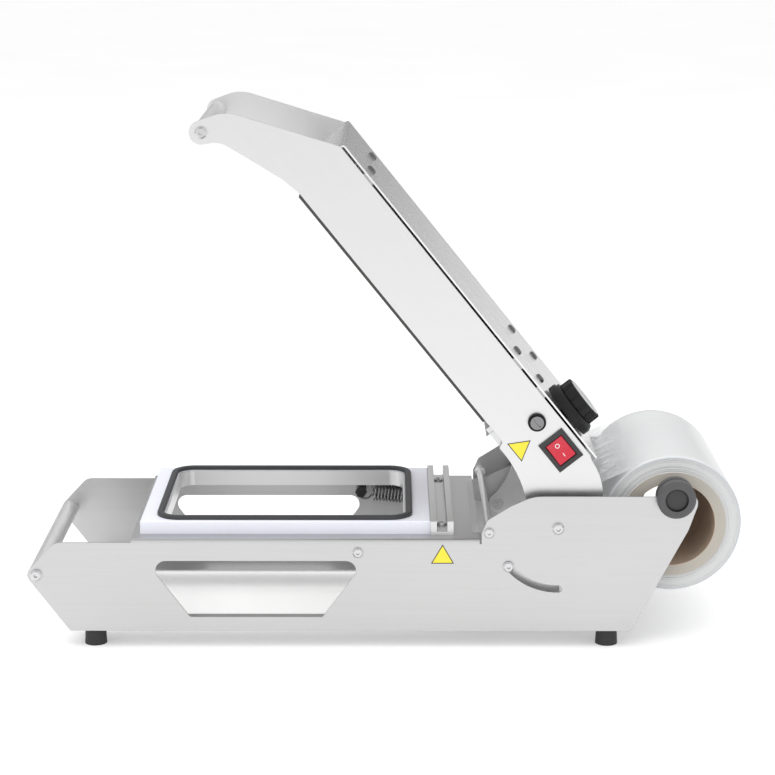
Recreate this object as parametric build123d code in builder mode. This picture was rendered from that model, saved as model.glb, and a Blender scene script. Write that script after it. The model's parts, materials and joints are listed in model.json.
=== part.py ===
from build123d import *
from math import acos, atan2, cos, hypot, radians, sin
import os

os.makedirs("parts", exist_ok=True)

# Manual tray sealer with a film roll and a cutter. Millimetres, +Z up, the operator
# stands at -X, the roll is at +X. "Right" is -Y, the operator's right hand.
# Side outlines are written from the lid pivot: x towards the roll, z up. Outlines
# of the lid are written the same way with the lid closed, and drawn on planes that
# are swung up by the opening angle, because the machine is modelled open.

# ---------------------------------------------------------------- driving sizes
# Tray seat, which the deck, the die, the lid and the film follow
seat_length = 230.0
seat_width = 176.0
gasket_width = 6.0
gasket_height = 5.5
gasket_corner = 21.0
gasket_groove = 2.0

# Heights from the lid pivot
deck_top = -10.0
panel_bottom = -95.5
foot_height = 15.5
base_grip_height = -43.3
arm_grip_height = -23.5
cover_height = 65.5
side_top = 62.0
plate_bottom = 6.0

# Lengths along the machine, as distances from the pivot
channel_reach = 92.2
deck_rear_reach = 68.5
guide_reach = 61.1
cover_rear_reach = 27.0
spring_anchor_reach = 177.4
spring_anchor_height = -22.3
shaft_reach = 103.1
shaft_height = 28.6
rear_wing_reach = 122.8

# Sheet and plate
base_sheet = 1.5
arm_sheet = 1.5
cover_sheet = 1.5
liner_sheet = 1.2
die_thickness = 12.0
plate_thickness = 10.0

# Margins and reaches
die_margin_front = 13.2
die_margin_rear = 16.1
die_margin_side = 3.5
plate_inset = 1.2
deck_margin = 6.8
grip_reach = 84.9
arm_grip_offset = 2.8
cover_margin = 3.7
foot_flange = 41.0

# Clearances
arm_gap = 3.0
coil_gap = 1.0
running_gap = 0.3
bearing_gap = 0.05
head_gap = 0.4
film_gap = 4.5

# Round parts
grip_radius = 8.0
lobe_radius = 8.0
arm_lobe_radius = 10.3
stop_radius = 56.05
stop_pin_radius = 3.0
pivot_pin_radius = 4.0
bush_wall = 2.0
guide_radius = 3.0
foot_radius = 10.0
shaft_radius = 8.0
core_inner_radius = 38.0
core_wall = 9.5
roll_radius = 62.0
spool_flange_radius = 17.0
spring_radius = 8.0
spring_wire = 2.0
spring_pitch = 3.2
spring_turns = 27.5

# Screw shanks
grip_screw_radius = 3.0
guide_screw_radius = 2.0
anchor_radius = 3.0
foot_screw_radius = 2.5
die_screw_radius = 2.0
channel_screw_radius = 2.5
cover_screw_radius = 2.5
clamp_screw_radius = 2.0
blade_screw_radius = 1.5

# Controls
knob_skirt_radius = 26.0
knob_grip_radius = 21.5
knob_reach = 70.0
knob_inset = 30.0
switch_length = 31.0
switch_width = 26.0
switch_reach = 52.5
switch_height = 44.5
fuse_reach = 85.8
fuse_height = 43.8

# Cutter
channel_width = 20.6
channel_height = 13.0
channel_wall = 5.7
channel_floor = 3.5
blade_thickness = 0.8
blade_depth = 3.0

# Lid swing
open_angle = 51.2

# ---------------------------------------------------------------- derived places
die_rear = -channel_reach - channel_width
die_front = die_rear - seat_length - die_margin_front - die_margin_rear
seat_centre = die_rear - die_margin_rear - seat_length / 2
die_centre = (die_front + die_rear) / 2
die_top = deck_top + die_thickness
deck_front = die_front - deck_margin
grip_x = deck_front - grip_reach
arm_grip_x = grip_x - arm_grip_offset
cover_front = deck_front - cover_margin
plate_front = die_front + plate_inset
plate_rear = die_rear - plate_inset
wing_top = deck_top - 3.3

die_half = seat_width / 2 + die_margin_side
arm_inner = die_half + arm_gap
arm_outer = arm_inner + arm_sheet
base_inner = arm_outer + spring_radius + spring_wire / 2 + coil_gap
base_outer = base_inner + base_sheet
film_half = arm_inner - film_gap
roll_z = shaft_height + shaft_radius + running_gap - core_inner_radius
core_outer_radius = core_inner_radius + core_wall

front_reach = grip_x - lobe_radius
rear_reach = shaft_reach + roll_radius
pivot_x = -(front_reach + rear_reach) / 2
pivot_z = foot_height - panel_bottom

swing = radians(open_angle)
pivot = (pivot_x, 0, pivot_z)
base_side = Plane(origin=pivot, x_dir=(1, 0, 0), z_dir=(0, -1, 0))
base_top = Plane(origin=pivot, x_dir=(1, 0, 0), z_dir=(0, 0, 1))
arm_side = Plane(origin=pivot, x_dir=(cos(swing), 0, -sin(swing)), z_dir=(0, -1, 0))
arm_top = Plane(origin=pivot, x_dir=(cos(swing), 0, -sin(swing)), z_dir=(sin(swing), 0, cos(swing)))


# ---------------------------------------------------------------- helpers
def tangent_point(point, centre, radius, side):
    """Return where a line from a point touches a circle, on side +1 or -1."""
    dx = point[0] - centre[0]
    dz = point[1] - centre[1]
    angle = atan2(dz, dx) + side * acos(radius / hypot(dx, dz))
    return (centre[0] + radius * cos(angle), centre[1] + radius * sin(angle))


def on_circle(centre, radius, angle):
    """Return the point of a circle at an angle in degrees."""
    return (centre[0] + radius * cos(radians(angle)), centre[1] + radius * sin(radians(angle)))


def rounded_chain(corners, closed=False):
    """Draw straight runs through (x, z, radius) corners, each rounded by its radius."""
    count = len(corners)
    ends = []
    for index, (x, z, radius) in enumerate(corners):
        if radius == 0 or (not closed and index in (0, count - 1)):
            ends.append(((x, z), None, (x, z)))
            continue
        x0, z0 = corners[index - 1][:2]
        x1, z1 = corners[(index + 1) % count][:2]
        back_x, back_z = (x0 - x) / hypot(x0 - x, z0 - z), (z0 - z) / hypot(x0 - x, z0 - z)
        on_x, on_z = (x1 - x) / hypot(x1 - x, z1 - z), (z1 - z) / hypot(x1 - x, z1 - z)
        half = acos(back_x * on_x + back_z * on_z) / 2
        run = radius * cos(half) / sin(half)
        mid_x, mid_z = (back_x + on_x) / (2 * cos(half)), (back_z + on_z) / (2 * cos(half))
        crown = radius / sin(half) - radius
        start = (x + back_x * run, z + back_z * run)
        finish = (x + on_x * run, z + on_z * run)
        ends.append((start, (x + mid_x * crown, z + mid_z * crown), finish))
    for index, (start, crown_point, finish) in enumerate(ends):
        if crown_point:
            ThreePointArc(start, crown_point, finish)
        if closed or index < count - 1:
            Line(finish, ends[(index + 1) % count][0])


def turned(plane, x, z, profile, mode=Mode.ADD):
    """Turn a closed (radius, distance out of the plane) profile about an axis at (x, z)."""
    centre = plane.from_local_coords((x, z, 0))
    section = Plane(origin=centre, x_dir=plane.x_dir, z_dir=-plane.y_dir)
    with BuildSketch(section, mode=Mode.PRIVATE) as half:
        with BuildLine():
            Polyline(*profile, close=True)
        make_face()
    revolve(half.sketch, axis=Axis(centre, plane.z_dir), mode=mode)


def bar(plane, x, z, radius, start, end, mode=Mode.ADD):
    """Add a round bar from one distance out of the plane to another."""
    turned(plane, x, z, [(0, start), (radius, start), (radius, end), (0, end)], mode)


def ring(plane, x, z, inner, outer, start, end):
    """Add a plain tube from one distance out of the plane to another."""
    turned(plane, x, z, [(inner, start), (outer, start), (outer, end), (inner, end)])


def screw(plane, x, z, tip, seat, shank, head, height, key=0.0):
    """Add a button-head screw: the head stands on the seat and the shank ends at the tip."""
    crown = height * 0.5
    profile = [(0, tip), (shank, tip), (shank, seat), (head, seat), (head, seat + height - crown)]
    profile += [(head - crown, seat + height), (0, seat + height)]
    turned(plane, x, z, profile)
    if key:
        with BuildSketch(plane.offset(seat + height), mode=Mode.PRIVATE) as socket:
            with Locations((x, z)):
                RegularPolygon(key, 6)
        extrude(socket.sketch, amount=-height * 0.7, mode=Mode.SUBTRACT)


def hexagon(plane, x, z, across, bore, start, end):
    """Add a hexagon nut with a plain bore."""
    with BuildSketch(plane.offset(start), mode=Mode.PRIVATE) as nut:
        with Locations((x, z)):
            RegularPolygon(across / 2, 6, major_radius=False)
            Circle(bore, mode=Mode.SUBTRACT)
    extrude(nut.sketch, amount=end - start)


def block(plane, x0, x1, y0, y1, low, high, mode=Mode.ADD):
    """Add a straight block between two pairs of sketch coordinates and two heights."""
    with BuildSketch(plane.offset(low), mode=Mode.PRIVATE) as area:
        with Locations(((x0 + x1) / 2, (y0 + y1) / 2)):
            Rectangle(x1 - x0, y1 - y0)
    extrude(area.sketch, amount=high - low, mode=mode)


def save(piece, name):
    """Label a finished piece and write it to its own file."""
    piece.label = name
    export_step(piece, "parts/" + name + ".step")


def save_left(piece, name):
    """Write the mirrored piece of the machine's other side."""
    with BuildPart() as copy:
        mirror(piece, about=Plane.XZ)
    save(copy.part, name)


# ---------------------------------------------------------------- base: folded sheet
deck_end = -deck_rear_reach - 0.8
relief_end = -deck_rear_reach + 0.8
wing_tip = grip_x + 21.0
low_front = (deck_front - 56.0, panel_bottom)
low_rear = (66.4, panel_bottom)
grip = (grip_x, base_grip_height)
anchor = (-spring_anchor_reach, spring_anchor_height)
guide = (-guide_reach, wing_top + 9.2)
shaft = (shaft_reach, shaft_height)
rear_top = shaft_height + 0.6
spool_neck_radius = 9.0
notch_radius = spool_neck_radius + running_gap
window_top = -30.2
window_bottom = -82.5
window_corner = 9.0
window_front = die_front + 5.6
window_rear = -spring_anchor_reach + 7.2
window_slope = 39.0
slot_half = stop_pin_radius + running_gap
slot_overrun = 1.0

foot_places = (deck_front - 35.2, low_rear[0] - 20.4)
foot_side = base_inner - 12.5
wing_upper = tangent_point((wing_tip - 4, wing_top), grip, lobe_radius, 1)
wing_lower = tangent_point(low_front, grip, lobe_radius, -1)
side_corners = [
    (*grip, 0),
    (*wing_upper, 0),
    (wing_tip - 4, wing_top, 12),
    (deck_end, wing_top, 0),
    (deck_end, wing_top - 1, 0),
    (relief_end, wing_top - 1, 0),
    (relief_end, guide[1], 2),
    (relief_end + 5.0, guide[1] + 11.5, 3),
    (relief_end + 25.7, guide[1] + 24.5, 20),
    (relief_end + 45.0, rear_top, 40),
    (rear_wing_reach, rear_top, 5),
    (rear_wing_reach, shaft_height - 8, 12),
    (rear_wing_reach - 7.5, shaft_height - 30, 30),
    (*low_rear, 2),
    (*low_front, 2),
    (*wing_lower, 0),
]

with BuildPart() as side_panel_right:
    with BuildSketch(base_side.offset(base_inner)):
        with BuildLine():
            rounded_chain(side_corners, closed=True)
        make_face()
        with Locations(grip):
            Circle(lobe_radius)
        with BuildLine():
            rounded_chain([
                (window_front, window_top, window_corner),
                (window_rear, window_top, window_corner),
                (window_rear - window_slope, window_bottom, 3),
                (window_front + window_slope, window_bottom, 3),
            ], closed=True)
        make_face(mode=Mode.SUBTRACT)
        with Locations(shaft):
            Circle(notch_radius, mode=Mode.SUBTRACT)
        with Locations((shaft_reach, shaft_height + 10)):
            Rectangle(2 * notch_radius, 20, mode=Mode.SUBTRACT)
        for place, radius in ((grip, grip_screw_radius), (guide, guide_screw_radius),
                              (anchor, anchor_radius), ((0, 0), pivot_pin_radius)):
            with Locations(place):
                Circle(radius, mode=Mode.SUBTRACT)
        stop_path = Edge.make_circle(stop_radius, start_angle=-90 - open_angle - slot_overrun,
                                     end_angle=-90 + slot_overrun)
        SlotArc(stop_path, 2 * slot_half, mode=Mode.SUBTRACT)
    extrude(amount=base_sheet)
    block(base_top, low_front[0] + 2, low_rear[0] - 2, -base_inner, -base_inner + foot_flange,
          panel_bottom, panel_bottom + base_sheet)
    for x in foot_places:
        bar(base_top, x, -foot_side, foot_screw_radius, panel_bottom, panel_bottom + base_sheet,
            mode=Mode.SUBTRACT)
save(side_panel_right.part, "side_panel_right")
save_left(side_panel_right.part, "side_panel_left")

# The deck is folded over both panels and butts on their top edges
lip = 12.0
gasket_rim = 0.8
liner_half_length = seat_length / 2 - gasket_width - gasket_rim
liner_half_width = seat_width / 2 - gasket_width - gasket_rim
liner_corner = gasket_corner - gasket_width - gasket_rim
fit_gap = 0.15
die_screw_places = [(x, y) for x in (die_front + 7, die_rear - 7) for y in (-die_half + 12, die_half - 12)]
channel_centre = -channel_reach - channel_width / 2
channel_screw_side = arm_outer - 22
with BuildPart() as deck_plate:
    with BuildSketch(Plane(origin=base_side.from_local_coords((deck_front, 0, 0)), x_dir=(0, 1, 0),
                           z_dir=(1, 0, 0))) as fold:
        with Locations((0, (deck_top + wing_top) / 2)):
            Rectangle(2 * base_outer, deck_top - wing_top)
        fillet(fold.vertices().group_by(Axis.Y)[-1], 2.5)
        with Locations((0, (deck_top + wing_top) / 2 - base_sheet)):
            Rectangle(2 * base_inner, deck_top - wing_top, mode=Mode.SUBTRACT)
    extrude(amount=deck_end - deck_front)
    block(base_top, deck_front, deck_front + base_sheet, -base_inner, base_inner, deck_top - lip,
          deck_top - base_sheet)
    with BuildSketch(base_top.offset(deck_top)):
        with Locations((seat_centre, 0)):
            RectangleRounded(2 * (liner_half_length + fit_gap), 2 * (liner_half_width + fit_gap),
                             liner_corner + fit_gap)
    extrude(amount=-base_sheet, mode=Mode.SUBTRACT)
    for x, y in die_screw_places:
        bar(base_top, x, y, die_screw_radius, deck_top - base_sheet, deck_top, mode=Mode.SUBTRACT)
    for y in (-channel_screw_side, channel_screw_side):
        bar(base_top, channel_centre, y, channel_screw_radius, deck_top - base_sheet, deck_top,
            mode=Mode.SUBTRACT)
save(deck_plate.part, "deck_plate")

# ---------------------------------------------------------------- base: feet and front grip
with BuildPart() as rubber_feet:
    for x in foot_places:
        turned(base_top, x, -foot_side, [
            (foot_screw_radius, panel_bottom), (foot_radius - 1, panel_bottom),
            (foot_radius - 0.6, panel_bottom - 2),
            (foot_radius, panel_bottom - foot_height), (5.5, panel_bottom - foot_height),
            (5.5, panel_bottom - foot_height + 6), (foot_screw_radius, panel_bottom - foot_height + 6)])
    mirror(about=Plane.XZ)
save(rubber_feet.part, "rubber_feet")

with BuildPart() as foot_screws:
    for x in foot_places:
        flange_top = panel_bottom + base_sheet
        head_low = panel_bottom - foot_height + 6
        turned(base_top, x, -foot_side, [
            (0, head_low - 3), (4.5, head_low - 3), (4.5, head_low), (foot_screw_radius, head_low),
            (foot_screw_radius, flange_top + 6), (0, flange_top + 6)])
        hexagon(base_top, x, -foot_side, 8, foot_screw_radius, flange_top, flange_top + 4)
    mirror(about=Plane.XZ)
save(foot_screws.part, "foot_screws")

with BuildPart() as front_grip_tube:
    ring(base_side, *grip, grip_screw_radius, grip_radius, -base_inner, -base_inner + 14)
    ring(base_side, *grip, grip_radius - 1.5, grip_radius, -base_inner + 14, base_inner - 14)
    ring(base_side, *grip, grip_screw_radius, grip_radius, base_inner - 14, base_inner)
save(front_grip_tube.part, "front_grip_tube")

with BuildPart() as front_grip_screws:
    screw(base_side, *grip, base_inner - 12, base_outer, grip_screw_radius, 5.3, 3.3, key=2.0)
    mirror(about=Plane.XZ)
save(front_grip_screws.part, "front_grip_screws")

# ---------------------------------------------------------------- base: tray seat
with BuildPart() as die_plate:
    with BuildSketch(base_top.offset(deck_top)):
        with Locations((die_centre, 0)):
            Rectangle(die_rear - die_front, 2 * die_half)
        with Locations((seat_centre, 0)):
            RectangleRounded(2 * (liner_half_length + fit_gap), 2 * (liner_half_width + fit_gap),
                             liner_corner + fit_gap, mode=Mode.SUBTRACT)
    extrude(amount=die_thickness)
    chamfer(die_plate.faces().sort_by(Axis.Z)[-1].outer_wire().edges(), 0.8)
    with BuildSketch(base_top.offset(die_top)):
        with Locations((seat_centre, 0)):
            RectangleRounded(seat_length, seat_width, gasket_corner)
            RectangleRounded(seat_length - 2 * gasket_width, seat_width - 2 * gasket_width,
                             gasket_corner - gasket_width, mode=Mode.SUBTRACT)
    extrude(amount=-gasket_groove, mode=Mode.SUBTRACT)
    for x, y in die_screw_places:
        bar(base_top, x, y, die_screw_radius, deck_top, deck_top + 8, mode=Mode.SUBTRACT)
save(die_plate.part, "die_plate")

with BuildPart() as tray_gasket:
    with BuildSketch(base_top.offset(die_top - gasket_groove)):
        with Locations((seat_centre, 0)):
            RectangleRounded(seat_length, seat_width, gasket_corner)
            RectangleRounded(seat_length - 2 * gasket_width, seat_width - 2 * gasket_width,
                             gasket_corner - gasket_width, mode=Mode.SUBTRACT)
    extrude(amount=gasket_height)
    chamfer(tray_gasket.faces().sort_by(Axis.Z)[-1].edges(), 0.8)
save(tray_gasket.part, "tray_gasket")

with BuildPart() as tray_frame:
    with BuildSketch(base_top.offset(deck_top - base_sheet - liner_sheet)):
        with Locations((seat_centre, 0)):
            RectangleRounded(2 * liner_half_length + 12, 2 * liner_half_width + 12, liner_corner + 6)
    extrude(amount=liner_sheet)
    with BuildSketch(base_top.offset(deck_top - base_sheet)):
        with Locations((seat_centre, 0)):
            RectangleRounded(2 * liner_half_length, 2 * liner_half_width, liner_corner)
    extrude(amount=die_thickness + base_sheet - 0.3)
    with BuildSketch(base_top.offset(deck_top - base_sheet - liner_sheet)):
        with Locations((seat_centre, 0)):
            RectangleRounded(2 * (liner_half_length - liner_sheet), 2 * (liner_half_width - liner_sheet),
                             liner_corner - liner_sheet)
    extrude(amount=die_thickness + 10, mode=Mode.SUBTRACT)
save(tray_frame.part, "tray_frame")

with BuildPart() as die_screws:
    under = base_top.offset(deck_top - base_sheet)
    down = Plane(origin=under.origin, x_dir=(1, 0, 0), z_dir=(0, 0, -1))
    for x, y in die_screw_places:
        screw(down, x, -y, -base_sheet - 8, 0, die_screw_radius, 3.8, 2.2, key=1.4)
save(die_screws.part, "die_screws")

# ---------------------------------------------------------------- base: cutter channel
with BuildPart() as cutter_channel:
    block(base_top, die_rear, -channel_reach, -arm_outer, arm_outer, deck_top, deck_top + channel_height)
    block(base_top, die_rear + channel_wall, -channel_reach - channel_wall, -arm_outer, arm_outer,
          deck_top + channel_floor, deck_top + channel_height, mode=Mode.SUBTRACT)
    for y in (-channel_screw_side, channel_screw_side):
        bar(base_top, channel_centre, y, channel_screw_radius, deck_top, deck_top + channel_floor,
            mode=Mode.SUBTRACT)
save(cutter_channel.part, "cutter_channel")

with BuildPart() as channel_screws:
    for y in (-channel_screw_side, channel_screw_side):
        screw(base_top, channel_centre, y, deck_top - base_sheet - 5, deck_top + channel_floor,
              channel_screw_radius, 4.2, 2.6, key=1.5)
        hexagon(base_top, channel_centre, y, 8, channel_screw_radius, deck_top - base_sheet - 4,
                deck_top - base_sheet)
save(channel_screws.part, "channel_screws")

# ---------------------------------------------------------------- base: film guide and pivots
collar_length = 10.0
with BuildPart() as film_guide_rod:
    turned(base_side, *guide, [
        (guide_screw_radius, base_inner), (guide_radius + 2, base_inner),
        (guide_radius + 2, base_inner - collar_length + 1), (guide_radius + 1, base_inner - collar_length),
        (guide_radius, base_inner - collar_length), (guide_radius, 0), (0, 0), (0, base_inner - 12),
        (guide_screw_radius, base_inner - 12)])
    mirror(about=Plane.XZ)
save(film_guide_rod.part, "film_guide_rod")

with BuildPart() as guide_screws:
    screw(base_side, *guide, base_inner - 11, base_outer, guide_screw_radius, 4.75, 2.6, key=1.6)
    mirror(about=Plane.XZ)
save(guide_screws.part, "guide_screws")

bush_radius = pivot_pin_radius + bearing_gap + bush_wall
bush_flange = 1.5
bush_collar = bush_radius + 1.5
with BuildPart() as pivot_screws:
    screw(base_side, 0, 0, arm_inner - 8, base_outer, pivot_pin_radius, 5.3, 3.0, key=2.3)
    mirror(about=Plane.XZ)
save(pivot_screws.part, "pivot_screws")

nut_seat = arm_inner - bush_flange - running_gap
with BuildPart() as pivot_spacers:
    ring(base_side, 0, 0, pivot_pin_radius, bush_collar, arm_outer + bush_flange + running_gap, base_inner)
    hexagon(base_side, 0, 0, 13, pivot_pin_radius, nut_seat - 5, nut_seat)
    mirror(about=Plane.XZ)
save(pivot_spacers.part, "pivot_spacers")

# ---------------------------------------------------------------- base: spring anchors
spring_side = (arm_outer + arm_inner) / 2 + 0.75
with BuildPart() as spring_anchors:
    screw(base_side, *anchor, spring_side - 7, base_outer, anchor_radius, 4.7, 2.8, key=1.8)
    ring(base_side, *anchor, anchor_radius, 5.0, base_inner - 3, base_inner)
    hexagon(base_side, *anchor, 10, anchor_radius, spring_side - 7, spring_side - 3)
    mirror(about=Plane.XZ)
save(spring_anchors.part, "spring_anchors")

# ---------------------------------------------------------------- springs
stop_open = (-stop_radius * sin(swing), -stop_radius * cos(swing))
spring_run = hypot(stop_open[0] - anchor[0], stop_open[1] - anchor[1])
spring_fall = atan2(stop_open[1] - anchor[1], stop_open[0] - anchor[0])
wire_radius = spring_wire / 2
coil_length = spring_pitch * spring_turns
coil_start = anchor_radius + 2 * (spring_radius - anchor_radius) - 1.5
spring_origin = base_side.offset(spring_side).from_local_coords((anchor[0], anchor[1], 0))
spring_dir = Vector(cos(spring_fall), 0, sin(spring_fall))
spring_up = Vector(-sin(spring_fall), 0, cos(spring_fall))
loop_plane = Plane(origin=spring_origin, x_dir=spring_dir, z_dir=(0, -1, 0))
coil_plane = Plane(origin=spring_origin + spring_dir * coil_start, x_dir=spring_up, z_dir=spring_dir)
loop_centre = spring_radius - anchor_radius - wire_radius - 0.2

with BuildPart() as spring_right:
    with BuildLine() as coil_path:
        Helix(pitch=spring_pitch, height=coil_length, radius=spring_radius)
    coil_mouth = Plane(origin=coil_path.line @ 0, z_dir=coil_path.line % 0)
    with BuildSketch(coil_mouth, mode=Mode.PRIVATE) as wire_face:
        Circle(wire_radius)
    coil_local = sweep(wire_face.sketch, path=coil_path.line, is_frenet=True, mode=Mode.PRIVATE)
    add(coil_local.moved(coil_plane.location))
    with Locations(Plane(origin=loop_plane.from_local_coords((loop_centre, 0, 0)), x_dir=spring_dir,
                         z_dir=(0, -1, 0))):
        Torus(spring_radius, wire_radius)
save(spring_right.part, "spring_right")
save_left(spring_right.part, "spring_left")

hook_shift = Vector(0, -4.0, 0)
hook_start = coil_start + coil_length + 2 * wire_radius
eye_radius = stop_pin_radius + wire_radius + running_gap
with BuildPart() as spring_hook_right:
    hook_plane = Plane(origin=spring_origin + hook_shift, x_dir=spring_dir, z_dir=(0, -1, 0))
    eye_axis = hook_plane.from_local_coords((spring_run, 0, 0))
    with Locations(Plane(origin=eye_axis, x_dir=spring_dir, z_dir=(0, -1, 0))):
        Torus(eye_radius, wire_radius)
    with Locations(Plane(origin=spring_origin + spring_dir * hook_start + hook_shift, z_dir=spring_dir)):
        Cylinder(wire_radius, spring_run - eye_radius - hook_start,
                 align=(Align.CENTER, Align.CENTER, Align.MIN))
save(spring_hook_right.part, "spring_hook_right")
save_left(spring_hook_right.part, "spring_hook_left")

# ---------------------------------------------------------------- lid: side sheets
arm_grip = (arm_grip_x, arm_grip_height)
tail = (0.0, -stop_radius)
tail_radius = 9.0
rear_centre = (-31.0, 2.0)
rear_radius = 58.0
side_foot = plate_bottom + 3.0
arc_front = (-channel_reach + 4.7, 3.3)
arc_middle = (-61.1, 1.4)
arc_back = (-35.9, -7.3)
throat_middle = (-21.0, -23.0)
crest = (arm_grip_x - 1.5, 4.0)
inner_bend = (arm_grip_x + 16.0, -16.0)
inner_bend_radius = 20.0
rear_start = (-cover_rear_reach, side_top - 2)
rear_mid = on_circle(rear_centre, rear_radius, 35)
rear_end = on_circle(rear_centre, rear_radius, -20)
fan_radius = stop_radius + 6.5
fan_start = on_circle((0, 0), fan_radius, -36)
fan_middle = on_circle((0, 0), fan_radius, -60)
fan_end = on_circle((0, 0), fan_radius, -86)
tail_front = on_circle(tail, tail_radius, 165)
pivot_hole = bush_radius

with BuildPart() as arm_side_blank:
    with BuildSketch(arm_side.offset(arm_inner)):
        with BuildLine():
            rounded_chain([
                (*arc_front, 0),
                (-channel_reach + 1.7, side_foot, 2),
                (plate_front - 3.0, side_foot, 12),
                (plate_front - 22.0, 5.0, 40),
                (*inner_bend, inner_bend_radius),
                (*tangent_point(inner_bend, arm_grip, arm_lobe_radius, -1), 0),
                (*arm_grip, 0),
                (*tangent_point(crest, arm_grip, arm_lobe_radius, 1), 0),
                (*crest, 35),
                (cover_front, side_top, 6),
                (-cover_rear_reach - 6.0, side_top, 4),
                (*rear_start, 0),
            ])
            ThreePointArc(rear_start, rear_mid, rear_end)
            Line(rear_end, fan_start)
            ThreePointArc(fan_start, fan_middle, fan_end)
            Line(fan_end, tail)
            Line(tail, tail_front)
            ThreePointArc(tail_front, throat_middle, arc_back)
            ThreePointArc(arc_back, arc_middle, arc_front)
        make_face()
        with Locations(arm_grip):
            Circle(arm_lobe_radius)
            Circle(grip_screw_radius, mode=Mode.SUBTRACT)
        with Locations(tail):
            Circle(tail_radius)
            Circle(stop_pin_radius, mode=Mode.SUBTRACT)
        with Locations((0, 0)):
            Circle(pivot_hole, mode=Mode.SUBTRACT)
    extrude(amount=arm_sheet)
save_left(arm_side_blank.part, "arm_side_left")

switch = (-switch_reach, switch_height)
fuse = (-fuse_reach, fuse_height)
body_length = switch_length - 3.5
body_width = switch_width - 4.0
fuse_body_radius = 6.5
with BuildPart() as arm_side_right:
    add(arm_side_blank.part)
    block(arm_side, switch[0] - body_length / 2, switch[0] + body_length / 2, switch[1] - body_width / 2,
          switch[1] + body_width / 2, arm_inner, arm_outer, mode=Mode.SUBTRACT)
    bar(arm_side, *fuse, fuse_body_radius, arm_inner, arm_outer, mode=Mode.SUBTRACT)
save(arm_side_right.part, "arm_side_right")

# ---------------------------------------------------------------- lid: cover and its bars
cover_under = cover_height - cover_sheet
lip_low = side_top + 0.6
cover_bend = 2.8
wall_gap = 0.3
end_wall_low = plate_bottom + plate_thickness
bar_width = 12.0
bar_height = 10.0
front_bar = cover_front + 37.0
middle_bar = die_rear - 24.7
blade_x = channel_centre
blade_bar = blade_x - 2.1
cover_screw_side = seat_width / 2 - 40
knob = (-knob_reach, knob_inset - arm_outer)
vent_pitch = 7.6
vent_rows = 3
vent_spacing = 11.0
vents_per_row = 23
with BuildPart() as arm_cover:
    with BuildSketch(arm_side.offset(-arm_outer)):
        with BuildLine():
            rounded_chain([
                (cover_front, lip_low, 0),
                (cover_front, cover_height, cover_bend),
                (-cover_rear_reach, cover_height, 0),
                (-cover_rear_reach, cover_under, 0),
                (cover_front + cover_sheet, cover_under, cover_bend - cover_sheet),
                (cover_front + cover_sheet, lip_low, 0),
            ], closed=True)
        make_face()
    extrude(amount=2 * arm_outer)
    block(arm_top, cover_front, cover_front + cover_sheet, -arm_inner + wall_gap, arm_inner - wall_gap,
          end_wall_low, lip_low)
    end_wall = Plane(origin=arm_top.from_local_coords((cover_front, 0, 0)), x_dir=(0, -1, 0),
                     z_dir=-arm_top.x_dir)
    with BuildSketch(end_wall):
        for row in range(vent_rows):
            for column in range(vents_per_row):
                offset_y = (column - (vents_per_row - 1) / 2) * vent_pitch
                with Locations((offset_y, side_top - 8 - vent_spacing * row)):
                    SlotOverall(9, 2.2, rotation=62)
    extrude(amount=-cover_sheet, mode=Mode.SUBTRACT)
    for x in (front_bar, middle_bar, blade_bar):
        for y in (-cover_screw_side, cover_screw_side):
            bar(arm_top, x, y, cover_screw_radius, cover_under, cover_height, mode=Mode.SUBTRACT)
    bar(arm_top, *knob, 5.0, cover_under, cover_height, mode=Mode.SUBTRACT)
save(arm_cover.part, "arm_cover")

with BuildPart() as cover_screws:
    for x in (front_bar, middle_bar, blade_bar):
        for y in (-cover_screw_side, cover_screw_side):
            screw(arm_top, x, y, cover_under - 7, cover_height, cover_screw_radius, 4.6, 2.4, key=1.6)
save(cover_screws.part, "cover_screws")

plate_top = plate_bottom + plate_thickness
stud_radius = 4.0
stud_side = seat_width / 2 - 18
with BuildPart() as cross_bars:
    for x in (front_bar, middle_bar, blade_bar):
        block(arm_top, x - bar_width / 2, x + bar_width / 2, -arm_inner, arm_inner, cover_under - bar_height,
              cover_under)
        for y in (-cover_screw_side, cover_screw_side):
            bar(arm_top, x, y, cover_screw_radius, cover_under - 7, cover_under, mode=Mode.SUBTRACT)
    for x in (front_bar, middle_bar):
        for y in (-stud_side, stud_side):
            bar(arm_top, x, y, 2.5, cover_under - bar_height, cover_under, mode=Mode.SUBTRACT)
save(cross_bars.part, "cross_bars")

# ---------------------------------------------------------------- lid: heater
element_front = front_bar + 12
element_rear = middle_bar - 12
element_half = seat_width / 2 - 6
clamp_screw_places = [(x, y) for x in (element_front + 12, element_rear - 12) for y in (-50, 0, 50)]
with BuildPart() as heating_plate:
    block(arm_top, plate_front, plate_rear, -film_half, film_half, plate_bottom, plate_top)
    for x in (front_bar, middle_bar):
        for y in (-stud_side, stud_side):
            bar(arm_top, x, y, 2.5, plate_top - 6, plate_top, mode=Mode.SUBTRACT)
    for x, y in clamp_screw_places:
        bar(arm_top, x, y, clamp_screw_radius, plate_top - 6, plate_top, mode=Mode.SUBTRACT)
save(heating_plate.part, "heating_plate")

ptfe_thickness = 0.3
with BuildPart() as ptfe_sheet:
    block(arm_top, plate_front, plate_rear, -film_half, film_half, plate_bottom - ptfe_thickness,
          plate_bottom)
save(ptfe_sheet.part, "ptfe_sheet")

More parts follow.
